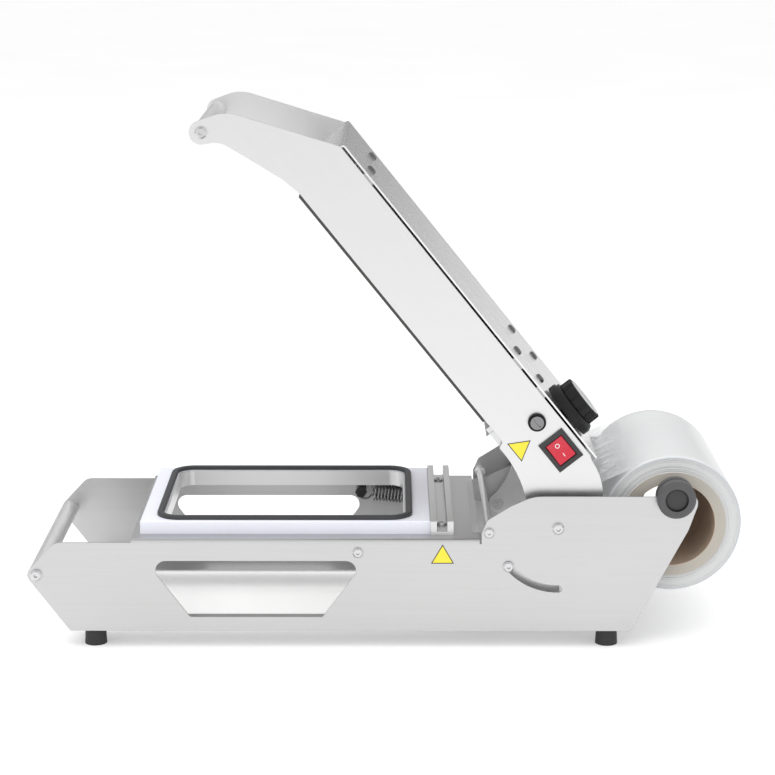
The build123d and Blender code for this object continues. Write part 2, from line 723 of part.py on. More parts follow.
element_thickness = 1.5
clamp_thickness = 2.0
blanket_thickness = 10.0
clamp_low = plate_top + element_thickness
blanket_low = clamp_low + clamp_thickness
with BuildPart() as heater_studs:
    for x in (front_bar, middle_bar):
        for y in (-stud_side, stud_side):
            turned(arm_top, x, y, [
                (0, plate_top - 6), (2.5, plate_top - 6), (2.5, plate_top), (stud_radius, plate_top),
                (stud_radius, cover_under - bar_height), (2.5, cover_under - bar_height),
                (2.5, cover_under - 1), (0, cover_under - 1)])
save(heater_studs.part, "heater_studs")

with BuildPart() as heating_element:
    block(arm_top, element_front, element_rear, -element_half, element_half, plate_top, clamp_low)
    for x, y in clamp_screw_places:
        bar(arm_top, x, y, clamp_screw_radius, plate_top, clamp_low, mode=Mode.SUBTRACT)
save(heating_element.part, "heating_element")

with BuildPart() as element_clamp:
    block(arm_top, element_front, element_rear, -element_half, element_half, clamp_low, blanket_low)
    for x, y in clamp_screw_places:
        bar(arm_top, x, y, clamp_screw_radius, clamp_low, blanket_low, mode=Mode.SUBTRACT)
save(element_clamp.part, "element_clamp")

with BuildPart() as clamp_screws:
    for x, y in clamp_screw_places:
        screw(arm_top, x, y, plate_top - 6, blanket_low, clamp_screw_radius, 3.6, 2.4, key=1.4)
save(clamp_screws.part, "clamp_screws")

with BuildPart() as insulation_blanket:
    block(arm_top, element_front + 20, element_rear - 20, -element_half + 4, element_half - 4, blanket_low,
          blanket_low + blanket_thickness)
save(insulation_blanket.part, "insulation_blanket")

# ---------------------------------------------------------------- lid: cutter blade
holder_thickness = 3.0
holder_low = side_foot - 5.0
holder_rear = blade_x + 16.5
holder_strip = 5.0
strip_height = 9.0
strip_front = blade_x - blade_thickness / 2 - holder_strip
blade_screw_height = holder_low + strip_height / 2
blade_screw_places = (-60, 0, 60)
blade_tip = die_top + 1.5 - blade_depth
with BuildPart() as blade_holder:
    block(arm_top, blade_x + blade_thickness / 2, blade_x + blade_thickness / 2 + holder_thickness,
          -arm_inner + 2, arm_inner - 2, holder_low, cover_under - bar_height)
    for x0, x1 in ((strip_front, blade_x - blade_thickness / 2), (blade_x + 3.0, holder_rear)):
        block(arm_top, x0, x1, -arm_inner + 2, arm_inner - 2, holder_low, holder_low + strip_height)
    for y in blade_screw_places:
        rod = Plane(origin=arm_top.from_local_coords((blade_x, y, blade_screw_height)), z_dir=arm_top.x_dir)
        with Locations(rod):
            Cylinder(blade_screw_radius, 20, mode=Mode.SUBTRACT)
save(blade_holder.part, "blade_holder")

blade_half = seat_width / 2 + 5
teeth = 46
with BuildPart() as cutting_blade:
    blade_plane = Plane(origin=arm_top.from_local_coords((blade_x - blade_thickness / 2, 0, 0)),
                        x_dir=(0, 1, 0), z_dir=arm_top.x_dir)
    tooth = 2 * blade_half / teeth
    edge_points = []
    for index in range(teeth):
        edge_points.append((-blade_half + index * tooth, blade_tip + 1.8))
        edge_points.append((-blade_half + (index + 0.5) * tooth, blade_tip))
    edge_points.append((blade_half, blade_tip + 1.8))
    with BuildSketch(blade_plane):
        with BuildLine():
            Polyline(*edge_points, (blade_half, holder_low + strip_height),
                     (-blade_half, holder_low + strip_height), close=True)
        make_face()
        with Locations(*[(y, blade_screw_height) for y in blade_screw_places]):
            Circle(blade_screw_radius, mode=Mode.SUBTRACT)
    extrude(amount=blade_thickness)
save(cutting_blade.part, "cutting_blade")

with BuildPart() as blade_screws:
    for y in blade_screw_places:
        seat = Plane(origin=arm_top.from_local_coords((strip_front, y, blade_screw_height)),
                     z_dir=-arm_top.x_dir)
        screw(seat, 0, 0, -holder_strip - blade_thickness - holder_thickness, 0, blade_screw_radius, 2.8, 1.8,
              key=1.1)
save(blade_screws.part, "blade_screws")

# ---------------------------------------------------------------- lid: grip, stops and bushes
with BuildPart() as arm_grip_tube:
    ring(arm_side, *arm_grip, grip_screw_radius, grip_radius, -arm_inner, -arm_inner + 14)
    ring(arm_side, *arm_grip, grip_radius - 1.5, grip_radius, -arm_inner + 14, arm_inner - 14)
    ring(arm_side, *arm_grip, grip_screw_radius, grip_radius, arm_inner - 14, arm_inner)
save(arm_grip_tube.part, "arm_grip_tube")

with BuildPart() as arm_grip_screws:
    screw(arm_side, *arm_grip, arm_inner - 12, arm_outer, grip_screw_radius, 5.3, 3.3, key=2.0)
    mirror(about=Plane.XZ)
save(arm_grip_screws.part, "arm_grip_screws")

with BuildPart() as stop_screws:
    screw(arm_side, *tail, arm_inner - 6, base_outer + head_gap, stop_pin_radius, 4.9, 2.8, key=1.8)
    hexagon(arm_side, *tail, 10, stop_pin_radius, arm_inner - 5, arm_inner)
    mirror(about=Plane.XZ)
save(stop_screws.part, "stop_screws")

with BuildPart() as pivot_bushes:
    turned(arm_side, 0, 0, [
        (pivot_pin_radius + bearing_gap, arm_inner - bush_flange), (bush_collar, arm_inner - bush_flange),
        (bush_collar, arm_inner), (bush_radius, arm_inner), (bush_radius, arm_outer),
        (bush_collar, arm_outer), (bush_collar, arm_outer + bush_flange),
        (pivot_pin_radius + bearing_gap, arm_outer + bush_flange)])
    mirror(about=Plane.XZ)
save(pivot_bushes.part, "pivot_bushes")

# ---------------------------------------------------------------- lid: electrics
with BuildPart() as electrics_tray:
    with BuildSketch(arm_side.offset(-arm_inner + 0.5)):
        with BuildLine():
            Polyline((-88.0, 20.0), (-36.5, 20.0), (-31.0, 60.0), (-32.4, 60.0), (-37.7, 21.5), (-88.0, 21.5),
                     close=True)
        make_face()
    extrude(amount=2 * arm_inner - 1)
save(electrics_tray.part, "electrics_tray")

bezel_height = 2.0
rocker_half_length = switch_length / 2 - 4.2
rocker_half_width = switch_width / 2 - 3.8
with BuildPart() as switch_body:
    block(arm_side, switch[0] - switch_length / 2, switch[0] + switch_length / 2,
          switch[1] - switch_width / 2, switch[1] + switch_width / 2, arm_outer, arm_outer + bezel_height)
    block(arm_side, switch[0] - body_length / 2, switch[0] + body_length / 2, switch[1] - body_width / 2,
          switch[1] + body_width / 2, arm_outer - 18, arm_outer)
    block(arm_side, switch[0] - rocker_half_length, switch[0] + rocker_half_length,
          switch[1] - rocker_half_width, switch[1] + rocker_half_width, arm_outer - 6,
          arm_outer + bezel_height, mode=Mode.SUBTRACT)
save(switch_body.part, "switch_body")

rocker_gap = 0.4
rocker_tilt = 8.0
cap_half = rocker_half_length - 0.9
rocker_plane = Plane(origin=arm_side.from_local_coords((*switch, arm_outer)), x_dir=arm_side.x_dir,
                     z_dir=-arm_side.y_dir).rotated((0, 0, rocker_tilt))
with BuildPart() as rocker_cap:
    with BuildSketch(rocker_plane.offset(-rocker_half_width + rocker_gap)):
        with BuildLine():
            Polyline((-cap_half, -1.5), (cap_half, -1.5), (cap_half, bezel_height + 0.6),
                     (0, bezel_height - 0.4), (-cap_half, bezel_height + 0.6), close=True)
        make_face()
    extrude(amount=2 * (rocker_half_width - rocker_gap))
save(rocker_cap.part, "rocker_cap")

with BuildPart() as fuse_holder:
    turned(arm_side, *fuse, [
        (4.4, arm_outer - 18), (fuse_body_radius, arm_outer - 18), (fuse_body_radius, arm_outer),
        (8.0, arm_outer), (8.0, arm_outer + 3),
        (6.4, arm_outer + 3), (6.4, arm_outer - 12), (4.4, arm_outer - 12)])
save(fuse_holder.part, "fuse_holder")

with BuildPart() as fuse_cap:
    bar(arm_side, *fuse, 6.0, arm_outer - 11, arm_outer + 4.5)
    block(arm_side, fuse[0] - 4.5, fuse[0] + 4.5, fuse[1] - 0.8, fuse[1] + 0.8, arm_outer + 3,
          arm_outer + 4.5, mode=Mode.SUBTRACT)
save(fuse_cap.part, "fuse_cap")

stat_shaft_radius = 3.0
with BuildPart() as thermostat_body:
    block(arm_top, knob[0] - 17, knob[0] + 17, knob[1] - 9, knob[1] + 21, cover_under - 24, cover_under - 2)
    bar(arm_top, *knob, 5.0, cover_under - 2, cover_height + 1)
    bar(arm_top, *knob, stat_shaft_radius, cover_height + 1, cover_height + 10)
save(thermostat_body.part, "thermostat_body")

skirt_height = 10.0
grip_height = 11.0
knob_low = cover_height + 1 + running_gap
grip_low = knob_low + skirt_height
grip_top = grip_low + grip_height
flute_count = 12
with BuildPart() as knob_skirt:
    turned(arm_top, *knob, [
        (stat_shaft_radius + bearing_gap, knob_low), (knob_skirt_radius - 1, knob_low),
        (knob_skirt_radius, knob_low + 1), (knob_skirt_radius, knob_low + skirt_height - 4),
        (knob_skirt_radius - 2.5, grip_low), (stat_shaft_radius + bearing_gap, grip_low)])
save(knob_skirt.part, "knob_skirt")

with BuildPart() as knob_grip:
    bar(arm_top, *knob, knob_grip_radius, grip_low, grip_top)
    with BuildSketch(arm_top.offset(grip_low)):
        with Locations(knob):
            with PolarLocations(knob_grip_radius + 1.8, flute_count):
                Circle(3.6)
    extrude(amount=grip_height, mode=Mode.SUBTRACT)
save(knob_grip.part, "knob_grip")

with BuildPart() as knob_insert:
    turned(arm_top, *knob, [
        (0, grip_top), (knob_grip_radius - 2.2, grip_top), (knob_grip_radius - 3.0, grip_top + 0.8),
        (0, grip_top + 0.8)])
save(knob_insert.part, "knob_insert")

with BuildPart() as terminal_block:
    block(arm_top, -84, -48, 20, 60, 21.5, 37)
    for y in (26, 40, 54):
        bar(arm_top, -66, y, 3.0, 33, 37, mode=Mode.SUBTRACT)
save(terminal_block.part, "terminal_block")

with BuildPart() as thermal_cutout:
    turned(arm_top, middle_bar - 2, 0, [
        (0, plate_top), (8, plate_top), (8, plate_top + 7), (5, plate_top + 7), (5, plate_top + 10),
        (0, plate_top + 10)])
save(thermal_cutout.part, "thermal_cutout")

# ---------------------------------------------------------------- labels
label_thickness = 0.2


def label(plane, x, z, side, distance, name):
    """Write a plain triangular label that is stuck on a sheet."""
    with BuildPart() as sticker:
        with BuildSketch(plane.offset(distance)):
            with BuildLine():
                Polyline((x - side / 2, z - side * 0.29), (x + side / 2, z - side * 0.29),
                         (x, z + side * 0.577), close=True)
            make_face()
        extrude(amount=label_thickness)
    save(sticker.part, name)


label(base_side, -102.3, -26.5, 20.5, base_outer, "base_label")
label(arm_side, -76.2, 17.2, 21.0, arm_outer, "arm_label")

# ---------------------------------------------------------------- film roll and its shaft
with BuildPart() as film_shaft:
    bar(base_side, *shaft, shaft_radius, -base_inner + 2, base_inner - 2)
save(film_shaft.part, "film_shaft")

spool_outer = base_outer + 10.5
with BuildPart() as spool_right:
    turned(base_side, *shaft, [
        (0, base_inner - 2), (shaft_radius, base_inner - 2), (shaft_radius, base_inner - 9),
        (spool_flange_radius - 2, base_inner - 9), (spool_flange_radius, base_inner - 7),
        (spool_flange_radius, base_inner - running_gap), (spool_neck_radius, base_inner - running_gap),
        (spool_neck_radius, base_outer + running_gap), (spool_flange_radius, base_outer + running_gap),
        (spool_flange_radius, spool_outer - 2), (spool_flange_radius - 2, spool_outer), (10, spool_outer),
        (10, spool_outer - 2.5), (0, spool_outer - 2.5)])
save(spool_right.part, "spool_right")
save_left(spool_right.part, "spool_left")

with BuildPart() as film_core:
    ring(base_side, shaft_reach, roll_z, core_inner_radius, core_outer_radius, -film_half, film_half)
save(film_core.part, "film_core")

with BuildPart() as film_winding:
    ring(base_side, shaft_reach, roll_z, core_outer_radius, roll_radius, -film_half + 1, film_half - 1)
save(film_winding.part, "film_winding")

# The web leaves the top of the roll, dips under the guide rod and lies on the deck
web_thickness = 0.4
web_half = film_half - 1
web_low = guide[1] - guide_radius - running_gap - web_thickness
leave = on_circle((shaft_reach, roll_z), roll_radius + running_gap, 114.6)
dip = (guide[0] - 2.0, web_low)
with BuildPart() as film_web:
    with BuildSketch(base_side.offset(-web_half)):
        with BuildLine():
            Polyline((dip[0] - 12, deck_top + 0.3), dip, (guide[0] + 2.5, web_low), leave,
                     (leave[0] - 0.2, leave[1] + web_thickness), (guide[0] + 2.3, web_low + web_thickness),
                     (dip[0] + 0.1, dip[1] + web_thickness), (dip[0] - 12, deck_top + 0.3 + web_thickness),
                     close=True)
        make_face()
    extrude(amount=2 * web_half)
save(film_web.part, "film_web")
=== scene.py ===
"""Visual model of a hand-operated tray sealer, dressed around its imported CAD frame.

The CAD nodes keep their shapes and get finishes. Soft, wound and moulded pieces are
built here as surfaces on grids: springs, gasket, film web, film winding, knob and
rocker. Lengths are in metres; +X runs to the film roll, +Y to the operator's
left and +Z up. "Lid coordinates" are (along, side, height) of the closed lid, measured
from its pivot, and the layout swings them up to where the open lid stands.
"""

from __future__ import annotations

import json
import logging
import math
from dataclasses import dataclass, field
from enum import Enum
from typing import Any, Iterable

import bmesh
import bpy
import numpy as np
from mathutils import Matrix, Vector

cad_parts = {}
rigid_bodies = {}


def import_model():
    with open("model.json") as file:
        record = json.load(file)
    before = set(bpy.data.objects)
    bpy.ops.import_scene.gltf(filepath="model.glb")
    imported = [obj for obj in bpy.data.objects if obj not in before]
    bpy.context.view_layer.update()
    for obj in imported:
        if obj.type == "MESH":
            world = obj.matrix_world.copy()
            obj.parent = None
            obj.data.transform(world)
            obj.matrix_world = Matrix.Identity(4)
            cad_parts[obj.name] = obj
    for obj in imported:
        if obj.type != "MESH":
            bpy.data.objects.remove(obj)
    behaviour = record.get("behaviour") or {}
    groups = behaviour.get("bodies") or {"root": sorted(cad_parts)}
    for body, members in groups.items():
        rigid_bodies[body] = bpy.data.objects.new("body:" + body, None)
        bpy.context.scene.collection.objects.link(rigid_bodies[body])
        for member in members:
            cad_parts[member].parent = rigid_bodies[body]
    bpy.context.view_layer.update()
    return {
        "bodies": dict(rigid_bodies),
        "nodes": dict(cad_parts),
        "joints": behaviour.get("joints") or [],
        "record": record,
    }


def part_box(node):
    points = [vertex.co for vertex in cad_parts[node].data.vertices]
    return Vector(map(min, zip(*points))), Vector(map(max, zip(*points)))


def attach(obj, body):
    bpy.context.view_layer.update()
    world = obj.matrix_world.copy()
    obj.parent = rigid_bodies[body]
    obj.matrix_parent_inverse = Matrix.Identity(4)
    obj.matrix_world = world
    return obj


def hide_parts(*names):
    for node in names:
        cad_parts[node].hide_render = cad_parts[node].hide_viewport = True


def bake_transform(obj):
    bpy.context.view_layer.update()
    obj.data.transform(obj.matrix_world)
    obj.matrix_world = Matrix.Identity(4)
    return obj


log = logging.getLogger("tray_sealer")

Colour = tuple[float, float, float]
Point = tuple[float, float, float]
TAU = 2.0 * math.pi
WELD = 2e-6  # distance within which points become one


# ------------------------------------------------------------------ shader maths
class Wire:
    """One node socket on which Python's operators add Math nodes."""

    def __init__(self, tree: "Tree", socket: bpy.types.NodeSocket) -> None:
        """Keeps the tree and the socket."""
        self.tree = tree
        self.socket = socket

    def join(self, operation: str, first: Any, second: Any = 0.0) -> "Wire":
        """Adds one Math node.

        Args:
            operation: name of the Math node's operation.
            first: number or wire of the first input.
            second: number or wire of the second input.

        Returns:
            The wire of the node's result.
        """
        made = self.tree.node("ShaderNodeMath", {"operation": operation}, {0: first, 1: second})
        return Wire(self.tree, made.outputs[0])

    def __add__(self, other: Any) -> "Wire":
        """Sum."""
        return self.join("ADD", self, other)

    __radd__ = __add__

    def __sub__(self, other: Any) -> "Wire":
        """Difference."""
        return self.join("SUBTRACT", self, other)

    def __rsub__(self, other: Any) -> "Wire":
        """Difference with the wire as the second term."""
        return self.join("SUBTRACT", other, self)

    def __mul__(self, other: Any) -> "Wire":
        """Product."""
        return self.join("MULTIPLY", self, other)

    __rmul__ = __mul__

    def __abs__(self) -> "Wire":
        """Absolute value."""
        return self.join("ABSOLUTE", self)

    def least(self, other: Any) -> "Wire":
        """The smaller of two."""
        return self.join("MINIMUM", self, other)

    def most(self, other: Any) -> "Wire":
        """The larger of two."""
        return self.join("MAXIMUM", self, other)

    def root(self) -> "Wire":
        """Square root."""
        return self.join("SQRT", self)

    def sine(self) -> "Wire":
        """Sine of an angle in radians."""
        return self.join("SINE", self)

    def crest(self, width: float, middle: float = 0.5) -> "Wire":
        """1 where the wire has its middle value, falling to 0 at a width from it."""
        return 1.0 - abs(self - middle).ramp(0.0, width)

    def ramp(self, low: float, high: float) -> "Wire":
        """Smooth step from 0 at low to 1 at high."""
        made = self.tree.node(
            "ShaderNodeMapRange",
            {"interpolation_type": "SMOOTHSTEP"},
            {"Value": self, "From Min": low, "From Max": high},
        )
        return Wire(self.tree, made.outputs[0])


class Tree:
    """Node tree of one material or of the world."""

    def __init__(self, owner: Any) -> None:
        """Empties the owner's node tree."""
        owner.use_nodes = True
        self.nodes = owner.node_tree.nodes
        self.links = owner.node_tree.links
        self.nodes.clear()

    def node(
        self, kind: str, settings: dict[str, Any] | None = None, inputs: dict[Any, Any] | None = None
    ) -> bpy.types.Node:
        """Adds any node.

        Args:
            kind: the node's type.
            settings: properties of the node, set first.
            inputs: numbers, colours or wires of its sockets, by name or index.

        Returns:
            The node.
        """
        made = self.nodes.new(kind)
        for key, value in (settings or {}).items():
            setattr(made, key, value)
        for key, value in (inputs or {}).items():
            if isinstance(value, Wire):
                self.links.new(value.socket, made.inputs[key])
            else:
                made.inputs[key].default_value = value
        return made

    def wire(self, kind: str, output: Any = 0, **parts: dict) -> Wire:
        """Adds a node and returns one of its outputs as a wire."""
        return Wire(self, self.node(kind, parts.get("settings"), parts.get("inputs")).outputs[output])

    def place(self, centre: Point = (0, 0, 0), turn: Point = (0, 0, 0), cell: Point = (1, 1, 1)) -> Wire:
        """Object coordinates seen from a centre, turned, and counted in cells.

        Args:
            centre: point that becomes the origin.
            turn: turn of the pattern's own axes, in radians.
            cell: length of one unit along each of those axes.

        Returns:
            The vector's wire.
        """
        spot = self.wire("ShaderNodeTexCoord", "Object")
        return self.wire(
            "ShaderNodeMapping",
            settings={"vector_type": "TEXTURE"},
            inputs={"Vector": spot, "Location": centre, "Rotation": turn, "Scale": cell},
        )

    def split(self, vector: Wire) -> tuple[Wire, Wire, Wire]:
        """The three parts of a vector."""
        made = self.node("ShaderNodeSeparateXYZ", None, {0: vector})
        return tuple(Wire(self, socket) for socket in made.outputs)

    def noise(self, vector: Wire, detail: float = 2.0, rough: float = 0.5, swirl: float = 0.0) -> Wire:
        """Noise from 0 to 1 over a vector counted in cells."""
        return self.wire(
            "ShaderNodeTexNoise",
            inputs={"Vector": vector, "Scale": 1.0, "Detail": detail, "Roughness": rough, "Distortion": swirl},
        )

    def rings(self, radius: Wire, width: float, detail: float, rough: float = 0.5) -> Wire:
        """Noise over a radius alone, with rings of about a width."""
        line = self.wire("ShaderNodeCombineXYZ", inputs={0: radius * (1 / width)})
        return self.noise(line, detail, rough)

    def blend(self, factor: Wire, first: Any, second: Any) -> Wire:
        """Colour that runs from the first to the second as the factor goes from 0 to 1."""
        pair = [c if isinstance(c, Wire) else (*c, 1.0) for c in (first, second)]
        return self.wire(
            "ShaderNodeMix", 2, settings={"data_type": "RGBA"}, inputs={0: factor, 6: pair[0], 7: pair[1]}
        )

    def vary(self, colour: Colour, spread: float, factor: Wire) -> Wire:
        """A colour made darker and lighter by a share of itself."""
        return self.blend(factor, *(tuple(min(1.0, c * (1 + s * spread)) for c in colour) for s in (-1, 1)))


@dataclass
class Skin:
    """What varies over a surface: wires for the shader's sockets."""

    colour: Any
    roughness: Any
    height: Wire | None = None
    depth: float = 0.0001
    alpha: Wire | None = None
    emission: Wire | None = None


@dataclass(frozen=True)
class Finish:
    """A plain finish, which the others refine."""

    name: str
    colour: Colour
    roughness: float = 0.4
    metallic: float = 0.0
    coat: float = 0.0
    specular: float = 0.5
    edge: float = 0.0

    def skin(self, tree: Tree) -> Skin:
        """What varies over the surface."""
        patch = tree.noise(tree.place(cell=(0.02, 0.02, 0.02)), 3.0)
        return Skin(tree.vary(self.colour, 0.04, patch), patch * 0.08 + (self.roughness - 0.04))

    def build(self) -> bpy.types.Material:
        """Makes the material.

        Returns:
            A material with one Principled shader.
        """
        material = bpy.data.materials.new(self.name)
        tree = Tree(material)
        skin = self.skin(tree)
        inputs: dict[str, Any] = {
            "Base Color": skin.colour if isinstance(skin.colour, Wire) else (*skin.colour, 1.0),
            "Roughness": skin.roughness,
            "Metallic": self.metallic,
            "Specular IOR Level": self.specular,
            "Coat Weight": self.coat,
            "Coat Roughness": 0.15,
        }
        if skin.alpha is not None:
            inputs["Alpha"] = skin.alpha
        if skin.emission is not None:
            inputs["Emission Color"] = skin.emission
            inputs["Emission Strength"] = 1.0
        normal = None
        if self.edge:
            normal = tree.wire("ShaderNodeBevel", settings={"samples": 4}, inputs={"Radius": self.edge})
        if skin.height is not None:
            bump = {"Height": skin.height, "Distance": skin.depth, "Strength": 1.0}
            if normal is not None:
                bump["Normal"] = normal
            normal = tree.wire("ShaderNodeBump", inputs=bump)
        if normal is not None:
            inputs["Normal"] = normal
        shader = tree.wire("ShaderNodeBsdfPrincipled", inputs=inputs)
        tree.node("ShaderNodeOutputMaterial", None, {"Surface": shader})
        return material


@dataclass(frozen=True)
class BrushedMetal(Finish):
    """Sheet metal with a fine grain along one direction."""

    metallic: float = 1.0
    grain: Point = (0.09, 0.0008, 0.0008)
    turn: float = 0.0
    spread: float = 0.03
    edge: float = 0.0005

    def skin(self, tree: Tree) -> Skin:
        """Fine grain over broad streaks: both are noise stretched along the grain."""
        broad = tuple(g * (3.0 if g > 0.01 else 9.0) for g in self.grain)
        fine = tree.noise(tree.place(turn=(0, self.turn, 0), cell=self.grain), 3.0, 0.6)
        streak = tree.noise(tree.place(turn=(0, self.turn, 0), cell=broad), 2.0)
        cloud = tree.noise(tree.place(cell=(0.14, 0.14, 0.14)), 1.0)
        mixed = fine * 0.5 + streak * 0.25 + cloud * 0.25
        rough = (fine * 0.6 + streak * 0.4 - 0.5) * 0.22 + self.roughness
        return Skin(tree.vary(self.colour, self.spread * 2, mixed), rough, fine, 0.000012)


@dataclass(frozen=True)
class TurnedMetal(Finish):
    """Bright machined metal with faint tool marks and dull spots."""

    metallic: float = 1.0
    roughness: float = 0.2
    edge: float = 0.0002

    def skin(self, tree: Tree) -> Skin:
        """Fine scratches across the piece and larger dull spots."""
        scratch = tree.noise(tree.place(cell=(0.0004, 0.004, 0.0004)), 3.0)
        spot = tree.noise(tree.place(cell=(0.004, 0.004, 0.004)), 2.0)
        rough = (scratch - 0.5) * 0.2 + (spot - 0.5) * 0.16 + self.roughness
        return Skin(tree.vary(self.colour, 0.07, spot), rough, scratch, 0.00001)


@dataclass(frozen=True)
class Moulded(Finish):
    """Moulded plastic or rubber with a fine cast grain."""

    grain_size: float = 0.0006
    grain_depth: float = 0.00003
    spread: float = 0.08
    edge: float = 0.0003

    def skin(self, tree: Tree) -> Skin:
        """Cast grain as fine noise, with a slow change of shade and wear."""
        grain = tree.noise(tree.place(cell=(self.grain_size,) * 3), 2.0)
        shade = tree.noise(tree.place(cell=(0.012, 0.012, 0.012)), 3.0, 0.6)
        rough = (grain - 0.5) * 0.12 + (shade - 0.5) * 0.12 + self.roughness
        return Skin(tree.vary(self.colour, self.spread, shade), rough, grain, self.grain_depth)


@dataclass(frozen=True)
class Dished(Moulded):
    """Moulded knob with painted shade in its recess round its own axis."""

    centre: Point = (0, 0, 0)
    recess: float = 0.01

    def skin(self, tree: Tree) -> Skin:
        """The plain finish with painted shade: darker below the recess's radius and darkest at its wall."""
        plain = super().skin(tree)
        x, _, z = tree.split(tree.place(centre=self.centre))
        radius = (x * x + z * z).root()
        # Painted shade: the recess darkens inside its radius, most of all at its wall.
        inner = 1.0 - radius.ramp(self.recess + 0.0001, self.recess + 0.0005)
        wall = radius.ramp(self.recess - 0.0022, self.recess - 0.0006) * inner
        plain.colour = tree.blend(inner * 0.6 + wall * 0.4, plain.colour, tuple(c * 0.1 for c in self.colour))
        return plain


@dataclass(frozen=True)
class Blackened(TurnedMetal):
    """Bright screw heads outside the panels, blackened hardware between them."""

    reach: float = 0.1055
    inside: Colour = (0.07, 0.07, 0.072)

    def skin(self, tree: Tree) -> Skin:
        """The plain finish outside, and a dark one below a distance from the middle plane."""
        plain = super().skin(tree)
        _, y, _ = tree.split(tree.place())
        outer = abs(y).ramp(self.reach, self.reach + 0.0003)
        plain.colour = tree.blend(outer, self.inside, plain.colour)
        return plain


@dataclass(frozen=True)
class MilledPlastic(Finish):
    """Cut polyethylene plate with faint cutter marks and scuffs."""

    edge: float = 0.0005

    def skin(self, tree: Tree) -> Skin:
        """Cutter marks run across the plate, and scuffs are sparse stretched noise."""
        mark = tree.noise(tree.place(cell=(0.0012, 0.05, 0.0012)), 2.0)
        slant = tree.place(turn=(0, 0, 0.5), cell=(0.02, 0.0015, 0.02))
        scuff = tree.noise(slant, 4.0, 0.65).ramp(0.6, 0.75)
        shade = tree.noise(tree.place(cell=(0.05, 0.05, 0.05)), 2.0)
        dull = tuple(c * 0.9 for c in self.colour)
        colour = tree.blend(scuff * 0.35, tree.vary(self.colour, 0.02, shade), dull)
        rough = (mark - 0.5) * 0.1 + scuff * 0.1 + self.roughness
        return Skin(colour, rough, mark + scuff * 0.5, 0.00003)


@dataclass(frozen=True)
class PaperCore(Finish):
    """Spiral-wound board tube: raw brown inside, smooth beige outside and at its ends."""

    centre: Point = (0, 0, 0)
    bore: float = 0.038
    inside: Colour = (0.55, 0.43, 0.33)
    lead: float = 0.085
    seam_share: float = 0.012

    def skin(self, tree: Tree) -> Skin:
        """Brown below the bore's radius; one helical seam, and rings on the ends."""
        x, y, z = tree.split(tree.place(centre=self.centre))
        radius = (x * x + z * z).root()
        inner = 1.0 - radius.ramp(self.bore + 0.0002, self.bore + 0.0005)
        course = z.join("ARCTAN2", z, x) * (1 / TAU) + y * (1 / self.lead)
        seam = course.join("FRACT", course).crest(self.seam_share) * inner
        ring = tree.rings(radius, 0.0011, 1.0)
        fibre = tree.noise(tree.place(cell=(0.0015, 0.006, 0.0015)), 4.0, 0.7)
        shade = tree.noise(tree.place(cell=(0.02, 0.03, 0.02)), 2.0)
        outer = tree.vary(self.colour, 0.14, fibre * 0.4 + ring * 0.6)
        bore = tree.vary(self.inside, 0.45, fibre * 0.45 + shade * 0.55)
        colour = tree.blend(inner, outer, tree.blend(seam * 0.6, bore, tuple(c * 0.5 for c in self.inside)))
        return Skin(colour, fibre * 0.1 + self.roughness, fibre + seam * -1.0, 0.00008)


@dataclass(frozen=True)
class WoundFilm(Finish):
    """Many layers of clear film: milky barrel with faint clouds, ringed ends."""

    centre: Point = (0, 0, 0)
    rim: float = 0.062
    half: float = 0.089
    rim_colour: Colour = (0.5, 0.53, 0.56)
    end_shade: float = 0.86

    def skin(self, tree: Tree) -> Skin:
        """Rings are noise over the radius alone; creases are noise stretched round the roll, and the barrel is
        painted a little darker along them as painted shade.
        """
        x, y, z = tree.split(tree.place(centre=self.centre))
        radius = (x * x + z * z).root()
        ring = tree.rings(radius, 0.0009, 3.0, 0.7)
        edge = radius.ramp(self.rim - 0.0035, self.rim - 0.0006)
        on_end = abs(y).ramp(self.half - 0.0016, self.half - 0.0008)
        crease = tree.noise(tree.place(turn=(0, 0, 0.35), cell=(0.05, 0.02, 0.05)), 2.0, 0.5, 0.8)
        fold = crease.crest(0.03) * (1.0 - on_end)
        end_colour = tuple(c * self.end_shade for c in self.colour)
        face = tree.blend(edge, tree.vary(end_colour, 0.05, ring), self.rim_colour)
        # Painted shade: the barrel darkens a little towards the rim colour along its creases.
        barrel = tree.blend(fold * 0.08, tree.vary(self.colour, 0.03, crease), self.rim_colour)
        colour = tree.blend(on_end, barrel, face)
        rough = ring * on_end * 0.2 + crease * 0.12 + self.roughness
        return Skin(colour, rough, crease * (1.0 - on_end) * 2.0 + ring * on_end * 0.3, 0.0001)


@dataclass(frozen=True)
class ClearFilm(Finish):
    """Thin clear film: glassy by the guide rod, whiter and creased towards the roll, with a painted highlight
    along its creases.
    """

    opacity: float = 0.3
    clear_end: float = 0.0
    milky_end: float = 0.1
    fade: float = 0.03
    painted_crease_highlight: Colour = (0.95, 0.96, 0.97)

    def skin(self, tree: Tree) -> Skin:
        """Creases are the middle lines of two swirled noises, coloured near white as a painted highlight; the
        film fades out on the roll.
        """
        wide = tree.noise(tree.place(turn=(0, 0.43, 0.15), cell=(0.06, 0.022, 0.06)), 2.0, 0.5, 0.8)
        thin = tree.noise(tree.place(turn=(0, 0.43, -0.4), cell=(0.03, 0.009, 0.03)), 3.0, 0.6, 1.5)
        fold = wide.crest(0.03).most(thin.crest(0.03) * 0.6)
        # Painted highlight: the creases are coloured near white.
        colour = tree.blend(fold, self.colour, self.painted_crease_highlight)
        x, _, _ = tree.split(tree.place())
        near_roll = x.ramp(self.clear_end, self.milky_end)
        held = 1.0 - x.ramp(self.milky_end - self.fade, self.milky_end)
        alpha = ((fold * 0.14 + thin * 0.08) * near_roll + near_roll * 0.25 + self.opacity) * held
        return Skin(colour, thin * 0.08 + self.roughness, wide * 2.0 + thin * 0.5, 0.0003, alpha)


